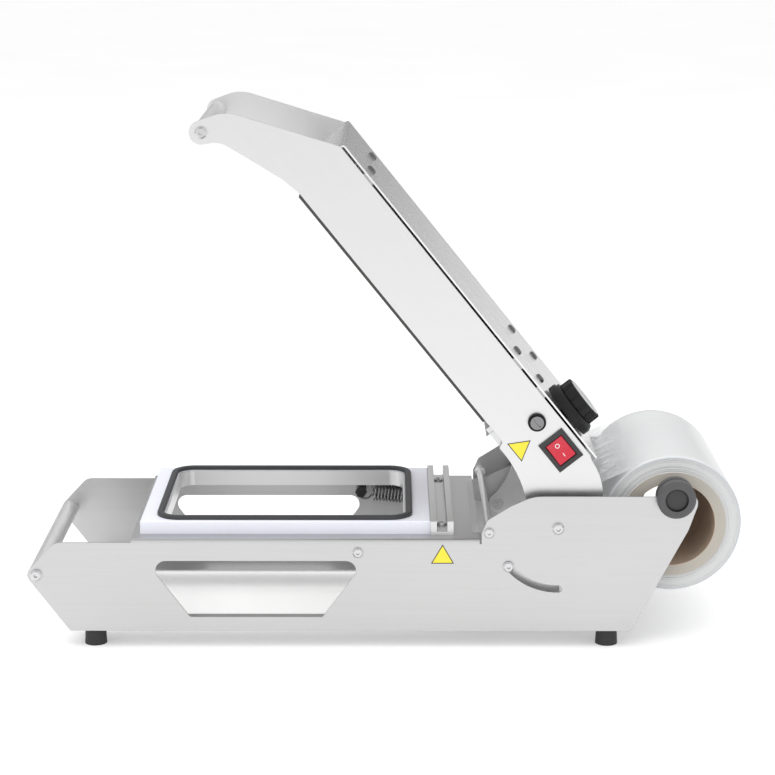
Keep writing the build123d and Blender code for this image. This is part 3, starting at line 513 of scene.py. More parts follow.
@dataclass(frozen=True)
class Sticker(Finish):
    """Yellow triangle with a black line along its three sides."""

    centre: Point = (0, 0, 0)
    turn: float = 0.0
    side: float = 0.02
    line: float = 0.0008
    ink: Colour = (0.03, 0.03, 0.03)

    def skin(self, tree: Tree) -> Skin:
        """The distance to the nearest side is the least of three straight-line distances."""
        x, _, z = tree.split(tree.place(centre=self.centre, turn=(0, self.turn, 0)))
        reach = self.side * 0.289
        slope = math.sqrt(3) / 2
        gap = (z + reach).least(reach - x * slope - z * 0.5).least(reach + x * slope - z * 0.5)
        border = 1.0 - gap.ramp(self.line * 0.85, self.line * 1.15)
        dirt = tree.noise(tree.place(cell=(0.004, 0.004, 0.004)), 3.0)
        colour = tree.blend(border, tree.vary(self.colour, 0.05, dirt), self.ink)
        return Skin(colour, dirt * 0.15 + self.roughness)


@dataclass(frozen=True)
class SpunDisc(Finish):
    """Aluminium disc with fine rings about its own centre."""

    metallic: float = 1.0
    centre: Point = (0, 0, 0)
    turn: float = 0.0

    def skin(self, tree: Tree) -> Skin:
        """Rings are noise over the distance from the disc's axis."""
        x, y, _ = tree.split(tree.place(centre=self.centre, turn=(0, self.turn, 0)))
        radius = (x * x + y * y).root()
        ring = tree.rings(radius, 0.0004, 2.0)
        return Skin(tree.vary(self.colour, 0.1, ring), ring * 0.2 + self.roughness, ring, 0.00002)


@dataclass(frozen=True)
class Woven(Finish):
    """Coated glass cloth or fibre felt: crossed threads."""

    thread: float = 0.0006
    turn: float = 0.0

    def skin(self, tree: Tree) -> Skin:
        """Threads are the product of two sine waves, with loose fibre noise over them."""
        x, y, _ = tree.split(tree.place(turn=(0, self.turn, 0)))
        turns = math.pi / self.thread
        weave = abs((x * turns).sine()) * 0.5 + abs((y * turns).sine()) * 0.5
        fuzz = tree.noise(tree.place(cell=(0.003, 0.003, 0.003)), 4.0, 0.7)
        mixed = weave * 0.5 + fuzz * 0.5
        return Skin(tree.vary(self.colour, 0.15, mixed), fuzz * 0.1 + self.roughness, mixed, 0.0001)


@dataclass(frozen=True)
class Glowing(Finish):
    """Pale backdrop that is lit from below as well, so that it stays white to its edge."""

    glow: float = 0.27

    def skin(self, tree: Tree) -> Skin:
        """A slow mottle in the colour; the glow is even."""
        patch = tree.noise(tree.place(cell=(0.4, 0.4, 0.4)), 2.0)
        return Skin(tree.vary(self.colour, 0.02, patch), self.roughness, emission=patch * 0.02 + self.glow)


# ------------------------------------------------------------------ grids to meshes
class Shell:
    """Collects grids of points and joins them into one mesh."""

    def __init__(self) -> None:
        """Starts empty."""
        self.points: list[np.ndarray] = []
        self.quads: list[np.ndarray] = []
        self.count = 0

    def grid(self, points: np.ndarray, wrap_rows: bool = False, wrap_columns: bool = False) -> "Shell":
        """Adds a sheet of quads through a grid of points.

        Args:
            points: array of rows, columns and three coordinates.
            wrap_rows: the last row joins the first.
            wrap_columns: the last column joins the first.

        Returns:
            The shell itself.
        """
        index = np.arange(points.shape[0] * points.shape[1]).reshape(points.shape[:2]) + self.count
        if wrap_rows:
            index = np.vstack([index, index[:1]])
        if wrap_columns:
            index = np.hstack([index, index[:, :1]])
        corners = [index[:-1, :-1], index[1:, :-1], index[1:, 1:], index[:-1, 1:]]
        self.points.append(points.reshape(-1, 3))
        self.quads.append(np.stack(corners, -1).reshape(-1, 4))
        self.count += points.shape[0] * points.shape[1]
        return self

    def build(self, name: str, material: bpy.types.Material, crease: float = 35.0) -> bpy.types.Object:
        """Makes the object: doubles merged, normals outward, smooth but for sharp folds.

        Args:
            name: the piece's name.
            material: its material.
            crease: angle in degrees above which an edge stays sharp.

        Returns:
            The object, linked to the scene.
        """
        points = np.concatenate(self.points).astype(np.float32)
        quads = np.concatenate(self.quads).astype(np.int32)
        mesh = bpy.data.meshes.new(name)
        mesh.vertices.add(len(points))
        mesh.vertices.foreach_set("co", points.ravel())
        mesh.loops.add(quads.size)
        mesh.loops.foreach_set("vertex_index", quads.ravel())
        mesh.polygons.add(len(quads))
        mesh.polygons.foreach_set("loop_start", np.arange(0, quads.size, 4, dtype=np.int32))
        mesh.update(calc_edges=True)
        mesh.materials.append(material)
        work = bmesh.new()
        work.from_mesh(mesh)
        bmesh.ops.remove_doubles(work, verts=work.verts, dist=WELD)
        bmesh.ops.dissolve_degenerate(work, edges=work.edges, dist=WELD / 2)
        bmesh.ops.recalc_face_normals(work, faces=work.faces)
        work.to_mesh(mesh)
        work.free()
        mesh.polygons.foreach_set("use_smooth", np.ones(len(mesh.polygons), bool))
        mesh.set_sharp_from_angle(angle=math.radians(crease))
        piece = bpy.data.objects.new(name, mesh)
        bpy.context.scene.collection.objects.link(piece)
        return piece


def unit(vector: np.ndarray) -> np.ndarray:
    """Vectors divided by their lengths."""
    return vector / np.maximum(np.linalg.norm(vector, axis=-1, keepdims=True), 1e-12)


def turned(
    centre: np.ndarray, axis: np.ndarray, profile: np.ndarray, steps: int, lobes: np.ndarray | None = None
) -> np.ndarray:
    """Grid of a turned surface: centre + radius (cos a, sin a) + height along the axis.

    Args:
        centre: point on the axis where the height is zero.
        axis: direction of the axis.
        profile: rows of radius and height.
        steps: points round the axis.
        lobes: share by which the radius changes, an array of profile rows by steps.

    Returns:
        The points, profile rows by steps; columns wrap.
    """
    axis = unit(np.asarray(axis, float))
    first = unit(np.cross(axis, (0.0, 1.0, 0.0) if abs(axis[1]) < 0.9 else (1.0, 0.0, 0.0)))
    second = np.cross(axis, first)
    angle = np.linspace(0, TAU, steps, endpoint=False)
    ring = np.cos(angle)[:, None] * first + np.sin(angle)[:, None] * second
    radius = profile[:, :1] * (np.ones((1, steps)) if lobes is None else lobes)
    return centre + radius[..., None] * ring[None] + profile[:, 1][:, None, None] * axis


def swept(path: np.ndarray, reference: np.ndarray, radius: float, sides: int = 10) -> np.ndarray:
    """Grid of a round wire along a path, its two ends domed.

    The wire's circle lies in the plane of two normals: the cross product of the tangent
    with a reference vector, and the cross product of that with the tangent.

    Args:
        path: points along the wire.
        reference: a vector at each point that never lies along the wire.
        radius: the wire's radius.
        sides: points round the wire.

    Returns:
        The points, stations by sides; columns wrap.
    """
    tangent = unit(np.gradient(path, axis=0))
    dome = np.array([[1.0, 0.0], [0.85, 0.55], [0.45, 0.88]])
    lead = path[0] - tangent[0] * radius * dome[:, :1]
    trail = path[-1] + tangent[-1] * radius * dome[::-1, :1]
    centres = np.concatenate([lead, path, trail])
    radii = radius * np.concatenate([dome[:, 1], np.ones(len(path)), dome[::-1, 1]])
    tangents = np.concatenate([np.repeat(tangent[:1], 3, 0), tangent, np.repeat(tangent[-1:], 3, 0)])
    guides = np.concatenate([np.repeat(reference[:1], 3, 0), reference, np.repeat(reference[-1:], 3, 0)])
    first = unit(np.cross(tangents, guides))
    second = np.cross(first, tangents)
    angle = np.linspace(0, TAU, sides, endpoint=False)
    ring = np.cos(angle)[None, :, None] * first[:, None] + np.sin(angle)[None, :, None] * second[:, None]
    return centres[:, None] + radii[:, None, None] * ring


def bend(
    start: np.ndarray, heading: np.ndarray, end: np.ndarray, arrival: np.ndarray, count: int
) -> np.ndarray:
    """Cubic Hermite curve from one point and heading to another, without its first point."""
    t = np.linspace(0, 1, count + 1)[1:, None]
    return (
        (2 * t**3 - 3 * t**2 + 1) * start
        + (t**3 - 2 * t**2 + t) * heading
        + (3 * t**2 - 2 * t**3) * end
        + (t**3 - t**2) * arrival
    )


def rounded_profile(corners: Iterable[tuple[float, float, float]], steps: int = 5) -> np.ndarray:
    """Points of an open outline whose corners are rounded.

    Each corner (a, b, r) becomes a quadratic curve between the points r away from it on
    its two sides.

    Args:
        corners: two coordinates and a rounding reach for each corner.
        steps: points along each rounding.

    Returns:
        The points as rows.
    """
    marks = list(corners)
    rows: list[np.ndarray] = []
    for number, (a, b, reach) in enumerate(marks):
        here = np.array([a, b])
        if reach == 0 or number in (0, len(marks) - 1):
            rows.append(here[None])
            continue
        back = here + unit(np.array(marks[number - 1][:2]) - here) * reach
        onward = here + unit(np.array(marks[number + 1][:2]) - here) * reach
        t = np.linspace(0, 1, steps)[:, None]
        rows.append((1 - t) ** 2 * back + 2 * t * (1 - t) * here + t**2 * onward)
    return np.concatenate(rows)


# ------------------------------------------------------------------ the frame's places
@dataclass(frozen=True)
class Layout:
    """Where the frame's joints stand, and how closed-lid coordinates swing open."""

    pivot: np.ndarray
    swing: float
    joints: dict[str, dict]

    @classmethod
    def read(cls, frame: dict[str, Any]) -> "Layout":
        """Takes the pivot and the opening angle from the lid's hinge."""
        joints = {joint["name"]: joint for joint in frame["joints"]}
        hinge = joints["lid_swing"]
        return cls(np.array(hinge["pos_m"]), math.radians(hinge["range_deg"][1]), joints)

    @property
    def along(self) -> np.ndarray:
        """Direction of the lid's length, towards the roll."""
        return np.array([math.cos(self.swing), 0.0, -math.sin(self.swing)])

    @property
    def normal(self) -> np.ndarray:
        """Direction out of the lid's cover."""
        return np.array([math.sin(self.swing), 0.0, math.cos(self.swing)])

    def lid(self, along: Any, side: Any, height: Any) -> np.ndarray:
        """Lid coordinates as points of the row frame; the arguments may be arrays."""
        along, side, height = np.broadcast_arrays(along, side, height)
        across = side[..., None] * np.array([0.0, 1.0, 0.0])
        return self.pivot + along[..., None] * self.along + across + height[..., None] * self.normal

    def base(self, along: Any, side: Any, height: Any) -> np.ndarray:
        """Distances from the pivot as points of the row frame; the arguments may be arrays."""
        return self.pivot + np.stack(np.broadcast_arrays(along, side, height), -1)

    def place(self, joint: str) -> np.ndarray:
        """A joint's place."""
        return np.array(self.joints[joint]["pos_m"])


class Side(Enum):
    """The operator's right is at -Y."""

    RIGHT = -1.0
    LEFT = 1.0

    @property
    def word(self) -> str:
        """The side's name in node and body names."""
        return self.name.lower()


@dataclass
class Workshop:
    """What every sub-assembly needs: the frame, the layout and the finishes."""

    frame: dict[str, Any]
    layout: Layout
    finishes: dict[str, bpy.types.Material] = field(default_factory=dict)

    def finish(self, kind: Finish) -> bpy.types.Material:
        """Builds a finish once and hands out the same material after that."""
        if kind.name not in self.finishes:
            self.finishes[kind.name] = kind.build()
        return self.finishes[kind.name]

    def dress(self, kind: Finish, *nodes: str) -> None:
        """Gives CAD nodes a finish."""
        material = self.finish(kind)
        for name in nodes:
            for slot in self.frame["nodes"][name].material_slots:
                slot.material = material
        log.info("%s dresses %s", kind.name, ", ".join(nodes))

    def settle(self, piece: bpy.types.Object, body: str, slot: str, *nodes: str) -> bpy.types.Object:
        """Puts a new piece on its body and hides the CAD nodes it stands for."""
        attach(piece, body)
        if nodes:
            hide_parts(*nodes)
        log.info("%s rides %s", piece.name, body)
        return piece


# ------------------------------------------------------------------ finishes
PANEL_STEEL = BrushedMetal("panel_steel", (0.56, 0.56, 0.56), 0.34, spread=0.06)
DECK_STEEL = BrushedMetal("deck_steel", (0.56, 0.562, 0.565), 0.34, spread=0.03)
MILL_STEEL = BrushedMetal("mill_steel", (0.5, 0.5, 0.5), 0.42)
LINER_STEEL = BrushedMetal("liner_steel", (0.8, 0.8, 0.8), 0.4)
BLADE_STEEL = BrushedMetal("blade_steel", (0.62, 0.63, 0.65), 0.22, grain=(0.0006, 0.0006, 0.004))
SATIN_ALLOY = BrushedMetal("satin_alloy", (0.68, 0.682, 0.685), 0.38, grain=(0.0007, 0.07, 0.0007))
COATED_ALLOY = BrushedMetal("coated_alloy", (0.09, 0.09, 0.092), 0.5, metallic=0.6)
SCREW_STEEL = TurnedMetal("screw_steel", (0.62, 0.62, 0.63), 0.24)
TUBE_STEEL = TurnedMetal("tube_steel", (0.9, 0.9, 0.905), 0.38)
DARK_SCREW = TurnedMetal("dark_screw", (0.16, 0.16, 0.162), 0.34)
SPRING_WIRE = TurnedMetal("spring_wire", (0.34, 0.34, 0.345), 0.26)
WHITE_PLATE = MilledPlastic("white_plate", (0.83, 0.845, 0.92), 0.42)
GASKET_RUBBER = Moulded("gasket_rubber", (0.035, 0.037, 0.04), 0.5, spread=0.2)
FOOT_RUBBER = Moulded("foot_rubber", (0.022, 0.022, 0.022), 0.62, grain_size=0.0009)
BLACK_PLASTIC = Moulded("black_plastic", (0.006, 0.006, 0.0065), 0.5, specular=0.3, spread=0.15)
BEZEL_PLASTIC = Moulded("bezel_plastic", (0.028, 0.028, 0.029), 0.45)
RED_LENS = Moulded("red_lens", (0.56, 0.012, 0.035), 0.25, coat=0.3, grain_depth=0.000006, spread=0.06)
WHITE_INK = Moulded("white_ink", (0.85, 0.85, 0.85), 0.45, spread=0.03, edge=0.0)
CERAMIC = Moulded("terminal_ceramic", (0.72, 0.71, 0.67), 0.25, coat=0.4)
MICA_SHEET = Moulded("mica_sheet", (0.42, 0.36, 0.27), 0.35, grain_size=0.002)
FELT = Woven("fibre_felt", (0.72, 0.7, 0.65), 0.85, thread=0.002)


# ------------------------------------------------------------------ springs
@dataclass
class LidSpring:
    """A tension spring from its anchor on the base to the stop screw on the lid.

    Local coordinates are s along the spring, y outwards and u upwards.
    """

    shop: Workshop
    side: Side
    radius: float = 0.008
    wire: float = 0.00098
    pitch: float = 0.0032
    turns: float = 27.0
    loop_centre: float = 0.0038
    coil_start: float = 0.0131
    hook_offset: float = 0.004
    eye_radius: float = 0.0043
    steps: int = 30

    def build(self) -> bpy.types.Object:
        """Builds the wire from the anchor to the stop screw."""
        word = self.side.word
        joints = self.shop.layout.joints
        origin = self.shop.layout.place(f"spring_turn_{word}")
        s = np.array(joints[f"spring_stretch_{word}"]["axis"])
        y = np.array([0.0, self.side.value, 0.0])
        u = np.array([-s[2], 0.0, s[0]])
        basis = np.stack([s, y, u])
        path, reference = self.path(self.reach(origin, s))
        wire = swept(origin + path @ basis, reference @ basis, self.wire)
        steel = self.shop.finish(SPRING_WIRE)
        piece = Shell().grid(wire, wrap_columns=True).build(f"spring_{word}_wire", steel)
        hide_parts(f"spring_{word}", f"spring_hook_{word}")
        end = self.coil_start + self.pitch * self.turns
        tuple(origin + s * self.coil_start)
        tuple(origin + s * end)
        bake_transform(piece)
        log.info("%s stretches between anchor and lid", piece.name)
        return piece

    def reach(self, origin: np.ndarray, s: np.ndarray) -> float:
        """Distance from the anchor to the stop screw, along the spring."""
        low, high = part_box("stop_screws")
        middle = (np.array(low) + np.array(high)) / 2
        return float((middle - origin) @ s)

    def path(self, reach: float) -> tuple[np.ndarray, np.ndarray]:
        """The wire's centreline.

        Front loop: a circle about the anchor. Coil: s grows by the pitch each turn, y and u
        are the sine and cosine of the turn times the radius. Rear: a bend down to a straight
        wire, and an eye round the stop screw. Cubic bends join them.

        Args:
            reach: where the eye's centre is.

        Returns:
            Points (s, y, u), and a reference vector at each.
        """
        loop = np.linspace(TAU * 0.93, 0, 44)
        front = np.stack(
            [self.loop_centre + self.radius * np.cos(loop), 0 * loop, self.radius * np.sin(loop)], -1
        )
        turn = np.linspace(math.pi, math.pi + TAU * (self.turns - 0.5), int(self.turns * self.steps))
        coil = np.stack(
            [
                self.coil_start + self.pitch * (turn - math.pi) / TAU,
                self.radius * np.sin(turn),
                self.radius * np.cos(turn),
            ],
            -1,
        )
        entry = bend(front[-1], np.array([0, 0, -0.011]), coil[0], np.array([0, -0.011, 0]), 12)[:-1]
        rise = np.array([coil[-1, 0] + 0.008, self.hook_offset, 0.0])
        exit_bend = bend(coil[-1], np.array([0, 0.011, 0]), rise, np.array([0.012, 0, 0]), 16)
        angle = np.radians(120 - np.linspace(0, 325, 40))
        eye = np.stack(
            [
                reach + self.eye_radius * np.cos(angle),
                np.full_like(angle, self.hook_offset),
                self.eye_radius * np.sin(angle),
            ],
            -1,
        )
        stop = np.array([eye[0, 0] - 0.005, self.hook_offset, 0.0])
        straight = rise + np.linspace(0, 1, 10)[1:, None] * (stop - rise)
        neck = bend(stop, np.array([0.006, 0, 0]), eye[0], np.array([0.0052, 0, 0.003]), 8)[:-1]
        path = np.concatenate([front, entry, coil, exit_bend, straight, neck, eye])
        across, axial, slant = np.array([0, 1.0, 0]), np.array([1.0, 0, 0]), np.array([0, 0.707, 0.707])
        switch = np.clip((np.arange(len(front)) - len(front) + 8) / 8, 0, 1)[:, None]
        early = across * (1 - switch) + axial * switch
        late = np.linspace(0, 1, len(exit_bend))[:, None]
        rest = len(straight) + len(neck) + len(eye)
        reference = np.concatenate(
            [
                early,
                np.repeat(axial[None], len(entry) + len(coil), 0),
                axial * (1 - late) + slant * late,
                np.repeat(slant[None], rest, 0),
            ]
        )
        return path, reference


# ------------------------------------------------------------------ tray seat
@dataclass
class TraySeat:
    """White plate with its liner and the rubber gasket that the tray's rim lies on."""

    shop: Workshop
    corner: float = 0.021
    width: float = 0.006
    round_over: float = 0.0019

    def build(self) -> bpy.types.Object:
        """Dresses the plate and liner and builds the gasket."""
        self.shop.dress(WHITE_PLATE, "die_plate")
        self.shop.dress(LINER_STEEL, "tray_frame")
        low, high = (np.array(c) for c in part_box("tray_gasket"))
        section = rounded_profile(
            [
                (0.0, 0.0, 0),
                (self.width / 2 - 0.0001, 0.0, 0.0004),
                (self.width / 2 - 0.0001, high[2] - low[2], self.round_over),
                (0.0, high[2] - low[2], 0),
            ],
            7,
        )
        section = np.concatenate([section, (section * (-1, 1))[::-1][1:-1]])
        outline, outward = self.outline(high[0] - low[0], high[1] - low[1])
        centre = np.append((low[:2] + high[:2]) / 2, low[2])
        flat = centre[:2] + outline[:, None] + outward[:, None] * section[None, :, :1]
        height = np.broadcast_to(centre[2] + section[None, :, 1:], (len(outline), len(section), 1))
        points = np.concatenate([flat, height], -1)
        piece = Shell().grid(points, True, True).build("gasket_seal", self.shop.finish(GASKET_RUBBER))
        return self.shop.settle(piece, "base", "gasket_rubber", "tray_gasket")

    def outline(self, length: float, width: float) -> tuple[np.ndarray, np.ndarray]:
        """Centreline of the gasket: a rounded rectangle.

        Each corner is a quarter circle of the corner radius less half the gasket's width;
        straight runs join them.

        Args:
            length: outside size along X.
            width: outside size along Y.

        Returns:
            Points and outward directions, both in X and Y.
        """
        steps = 14
        radius = self.corner - self.width / 2
        quarter = np.linspace(0, math.pi / 2, steps)
        rows, normals = [], []
        signs = ((1, 1), (-1, 1), (-1, -1), (1, -1))
        for number, (sx, sy) in enumerate(signs):
            angle = quarter + number * math.pi / 2
            out = np.stack([np.cos(angle), np.sin(angle)], -1)
            middle = np.array([sx * (length / 2 - self.corner), sy * (width / 2 - self.corner)])
            rows.append(middle + radius * out)
            normals.append(out)
        return np.concatenate(rows), np.concatenate(normals)


# ------------------------------------------------------------------ film
@dataclass
class FilmSupply:
    """Film winding on its core, the shaft and spools, the guide rod and the web."""

    shop: Workshop
    outer: float = 0.0618
    inner: float = 0.0475
    half: float = 0.0888
    web_half: float = 0.089
    web_thickness: float = 0.00012
    crease_depth: float = 0.00132
    creases: int = 7

    def build(self) -> None:
        """Dresses and builds everything that carries film."""
        roll = self.shop.layout.place("film_roll_spin")
        centre = tuple(roll)
        self.shop.dress(PaperCore("paper_core", (0.46, 0.43, 0.38), 0.75, centre=centre), "film_core")
        self.shop.dress(TUBE_STEEL, "film_shaft", "film_guide_rod")
        axle = tuple(self.shop.layout.place("roll_shaft_spin"))
        # The spools' finish carries painted shade in their recess.
        spool = Dished("spool_plastic", (0.075, 0.075, 0.078), 0.5, spread=0.12, centre=axle)
        self.shop.dress(spool, "spool_right", "spool_left")
        self.winding(roll)
        self.web(roll)

    def winding(self, roll: np.ndarray) -> bpy.types.Object:
        """Builds the wound film.

        The barrel's radius falls short of the outer radius by a little, as a sum of slow
        waves round and along the roll. The ends step in and out from layer to layer.

        Args:
            roll: centre of the roll.

        Returns:
            The piece.
        """
        rng = np.random.default_rng(7)
        steps, layers, stations = 160, 26, 40
        layer = np.linspace(self.inner, self.outer - 0.0006, layers)
        ledge = self.half - 0.0006 * rng.random(layers)
        ledge[-1] = self.half - 0.0008
        ledge[0] = self.half - 0.0001
        across = np.linspace(-1, 1, stations) * (self.half - 0.0014)
        left = np.stack([layer, ledge], -1)
        barrel = np.stack([np.full(stations, self.outer), across[::-1]], -1)
        right = np.stack([layer[::-1], -ledge[::-1]], -1)
        bore = np.stack([np.full(2, self.inner), np.array([-0.03, 0.03])], -1)
        profile = np.concatenate([left, barrel, right, bore])
        turn = np.linspace(0, TAU, steps, endpoint=False)[None]
        height = profile[:, 1][:, None]
        wave = sum(
            np.sin(a * turn + b * height / self.half + c)
            for a, b, c in ((3, 2.0, 0.4), (2, -3.0, 1.9), (1, 4.0, 3.1))
        )
        on_barrel = np.zeros((len(profile), 1))
        on_barrel[layers : layers + stations] = 1.0
        lobes = 1.0 - on_barrel * (0.0018 + 0.0004 * wave)
        grid = turned(roll, np.array([0.0, 1.0, 0.0]), profile, steps, lobes)
        finish = WoundFilm("wound_film", (0.68, 0.685, 0.69), 0.3, coat=0.2, centre=tuple(roll))
        piece = Shell().grid(grid, True, True).build("wound_film_roll", self.shop.finish(finish), 50.0)
        return self.shop.settle(piece, "film_roll", "wound_film", "film_winding")

    def web(self, roll: np.ndarray) -> bpy.types.Object:
        """Builds the sheet of film from the roll, under the guide rod and onto the deck.

        Its path is straight runs smoothed by a running mean. Creases are ridges, each the
        share of a width that is left at a distance from a slanting line, times a half sine
        along the free run, so the film is flat where the roll and the rod hold it.

        Args:
            roll: centre of the roll.

        Returns:
            The piece.
        """
        base = self.shop.layout.base
        knots = np.array(
            [
                (*roll[[0, 2]],),
                tuple(base(-0.0586, 0, -0.00775)[[0, 2]]),
                tuple(base(-0.0631, 0, -0.00785)[[0, 2]]),
                tuple(base(-0.0751, 0, -0.0095)[[0, 2]]),
            ]
        )
        leave = math.radians(114.6)
        knots[0] += (self.outer + 0.0004) * np.array([math.cos(leave), math.sin(leave)])
        run = np.concatenate([[0.0], np.cumsum(np.linalg.norm(np.diff(knots, axis=0), axis=1))])
        stations, columns = 150, 110
        travel = np.linspace(0, run[-1], stations)
        path = np.stack([np.interp(travel, run, knots[:, k]) for k in (0, 1)], -1)
        padded = np.pad(path, ((3, 3), (0, 0)), "edge")
        smooth = np.stack([np.convolve(padded[:, k], np.ones(7) / 7, "valid") for k in (0, 1)], -1)
        path[4:-4] = smooth[4:-4]
        tangent = unit(np.gradient(path, axis=0))
        upward = np.stack([tangent[:, 1], -tangent[:, 0]], -1)
        share = np.clip(travel / run[1], 0, 1)[:, None]
        side = np.linspace(-1, 1, columns)[None]
        rng = np.random.default_rng(11)
        lift = np.zeros((stations, columns))
        spans = ((-0.5, 0.5), (-1, 1), (0.12, 0.4), (-1, 1))
        for slope, place, width, depth in zip(*(rng.uniform(*span, self.creases) for span in spans)):
            lift += depth * np.clip(1 - np.abs(side - place - slope * (share - 0.5)) / width, 0, 1) ** 1.5
        lift *= self.crease_depth * np.sin(math.pi * share) ** 0.8
        top = np.empty((stations, columns, 3))
        top[..., 0] = path[:, :1] + upward[:, :1] * lift
        top[..., 1] = side * self.web_half
        top[..., 2] = path[:, 1:] + upward[:, 1:] * lift
        under = top.copy()
        under[..., 0] -= upward[:, :1] * self.web_thickness
        under[..., 2] -= upward[:, 1:] * self.web_thickness
        shell = Shell().grid(top).grid(under)
        for edge in ((0,), (-1,), (slice(None), 0), (slice(None), -1)):
            shell.grid(np.stack([top[edge], under[edge]]))
        finish = ClearFilm(
            "clear_film", (0.8, 0.81, 0.82), 0.16, opacity=0.16,
            clear_end=float(knots[1, 0] + 0.02), milky_end=float(knots[0, 0]),
        )
        piece = shell.build("film_sheet", self.shop.finish(finish), 80.0)
        self.shop.settle(piece, "base", "clear_film", "film_web")
        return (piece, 2 * self.web_half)[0]


# ------------------------------------------------------------------ controls
@dataclass
class Controls:
    """Thermostat knob, rocker switch, fuse holder and the two triangular stickers."""

    shop: Workshop
    knob_low: float = 0.0668
    bore: float = 0.0031
    skirt_radius: float = 0.026
    skirt_steps: int = 144
    ribs: int = 36
    rib_depth: float = 0.006
    skirt_height: float = 0.010
    grip_radius: float = 0.0215
    grip_height: float = 0.011
    flutes: int = 12
    flute_depth: float = 0.075
    rocker_tilt: float = math.radians(8.0)
    rocker_half: float = 0.0104
    rocker_width: float = 0.0088
    sticker_side: float = 0.021
    arm_sticker: tuple[float, float] = (-0.0762, 0.0172)

    def build(self) -> None:
        """Dresses the fixed controls and builds the moving ones."""
        shop = self.shop
        shop.dress(BEZEL_PLASTIC, "switch_body")
        shop.dress(BLACK_PLASTIC, "fuse_holder", "thermostat_body", "thermal_cutout", "pivot_bushes")
        shop.dress(TurnedMetal("fuse_metal", (0.24, 0.24, 0.245), 0.2), "fuse_cap")
        self.knob()
        self.rocker()
        self.stickers()

    def knob(self) -> None:
        """Builds the skirt, the fluted grip and the spun insert.

        The grip's radius is the plain radius less a share of it that follows a rounded
        comb: the sixth power of the cosine of half the flute's angle.
        """
        layout = self.shop.layout
        centre = layout.place("thermostat_turn")
        rise = self.knob_low - float((centre - layout.pivot) @ layout.normal)
        foot = centre + layout.normal * rise
        r, h = self.skirt_radius, self.skirt_height
        skirt = rounded_profile(
            [
                (self.bore, 0, 0),
                (r - 0.0002, 0, 0.0006),
                (r, h - 0.004, 0.0012),
                (r - 0.0025, h, 0.0012),
                (self.bore, h, 0),
            ]
        )
        black = self.shop.finish(BLACK_PLASTIC)
        steps = self.skirt_steps
        depth = np.ones((len(skirt), steps))
        band = (skirt[:, 1] > 0.0012) & (skirt[:, 1] < h - 0.0042) & (skirt[:, 0] > r * 0.9)
        depth[band] = 1.0 - self.rib_depth * (np.cos(np.arange(steps) / steps * TAU * self.ribs) > 0.2)
        points = turned(foot, layout.normal, skirt, steps, depth)
        piece = Shell().grid(points, True, True).build("knob_base", black)
        self.shop.settle(piece, "thermostat_knob", "black_plastic", "knob_skirt")
        r, low, top = self.grip_radius, h, h + self.grip_height
        grip = rounded_profile(
            [
                (0.0, low, 0),
                (r - 0.0004, low, 0.0004),
                (r, low + 0.0006, 0.0004),
                (r - 0.0002, top, 0.0014),
                (r - 0.0028, top, 0.0003),
                (r - 0.0034, top - 0.0006, 0),
                (0.0, top - 0.0006, 0),
            ]
        )
        steps = self.flutes * 24
        angle = np.arange(steps) / steps * TAU * self.flutes
        comb = np.cos(angle / 2) ** 6
        outer = np.clip((grip[:, 0] - r * 0.8) / (r * 0.15), 0, 1)[:, None]
        lobes = 1.0 - outer * self.flute_depth * comb[None]
        points = turned(foot, layout.normal, grip, steps, lobes)
        piece = Shell().grid(points, False, True).build("knob_handle", black)
        self.shop.settle(piece, "thermostat_knob", "black_plastic", "knob_grip")
        r = self.grip_radius - 0.0032
        disc = rounded_profile(
            [
                (0.0, top - 0.0004, 0),
                (r, top - 0.0004, 0),
                (r, top + 0.0007, 0.0005),
                (0.008, top + 0.0007, 0.0008),
                (0.006, top + 0.0004, 0.0008),
                (0.0, top + 0.0004, 0),
            ]
        )
        spun = SpunDisc("spun_disc", (0.72, 0.72, 0.73), 0.24, centre=tuple(foot), turn=layout.swing)
        piece = Shell().grid(turned(foot, layout.normal, disc, 96), False, True).build(
            "knob_disc", self.shop.finish(spun)
        )
        self.shop.settle(piece, "thermostat_knob", "silver_insert", "knob_insert")
        self.pointer(foot)

    def pointer(self, foot: np.ndarray) -> None:
        """Builds the white pointer bar that lies on the knob's skirt and grip."""
        layout = self.shop.layout
        low, top = self.skirt_height, self.skirt_height + 0.00025
        half, under = 0.0007, low - 0.002
        section = ((-half, under), (-half, top), (half, top), (half, under))
        points = np.array([[(along, *corner) for corner in section] for along in (-0.0252, -0.0219)])
        points[0, :, 2] -= 0.0016
        world = foot + points[..., :1] * layout.along + points[..., 1:2] * np.array([0, 1.0, 0])
        world = world + points[..., 2:] * layout.normal
        shell = Shell().grid(world, wrap_columns=True)
        for end in (world[0], world[1]):
            shell.grid(np.stack([end[[0, 3]], end[[1, 2]]]))
        piece = shell.build("knob_pointer", self.shop.finish(WHITE_INK))
        self.shop.settle(piece, "thermostat_knob", "silver_insert")

    def rocker(self) -> None:
        """Builds the rocker's cap and its two marks.

        The cap's face is a parabola: its height above the panel grows with the square of
        the distance from the middle. The marks lie on that face: a ring and a bar.
        """
        layout = self.shop.layout
        middle = layout.place("rocker_press")
        out = np.array([0.0, -1.0, 0.0])
        tilt = self.rocker_tilt
        length = layout.along * math.cos(tilt) + out * math.sin(tilt)
        rise = out * math.cos(tilt) - layout.along * math.sin(tilt)

        def at(a: np.ndarray, w: np.ndarray, h: np.ndarray) -> np.ndarray:
            a, w, h = np.broadcast_arrays(a, w, h)
            return middle + a[..., None] * length + w[..., None] * layout.normal + h[..., None] * rise

        def face(a: np.ndarray) -> np.ndarray:
            return 0.0016 + 0.001 * (a / self.rocker_half) ** 2

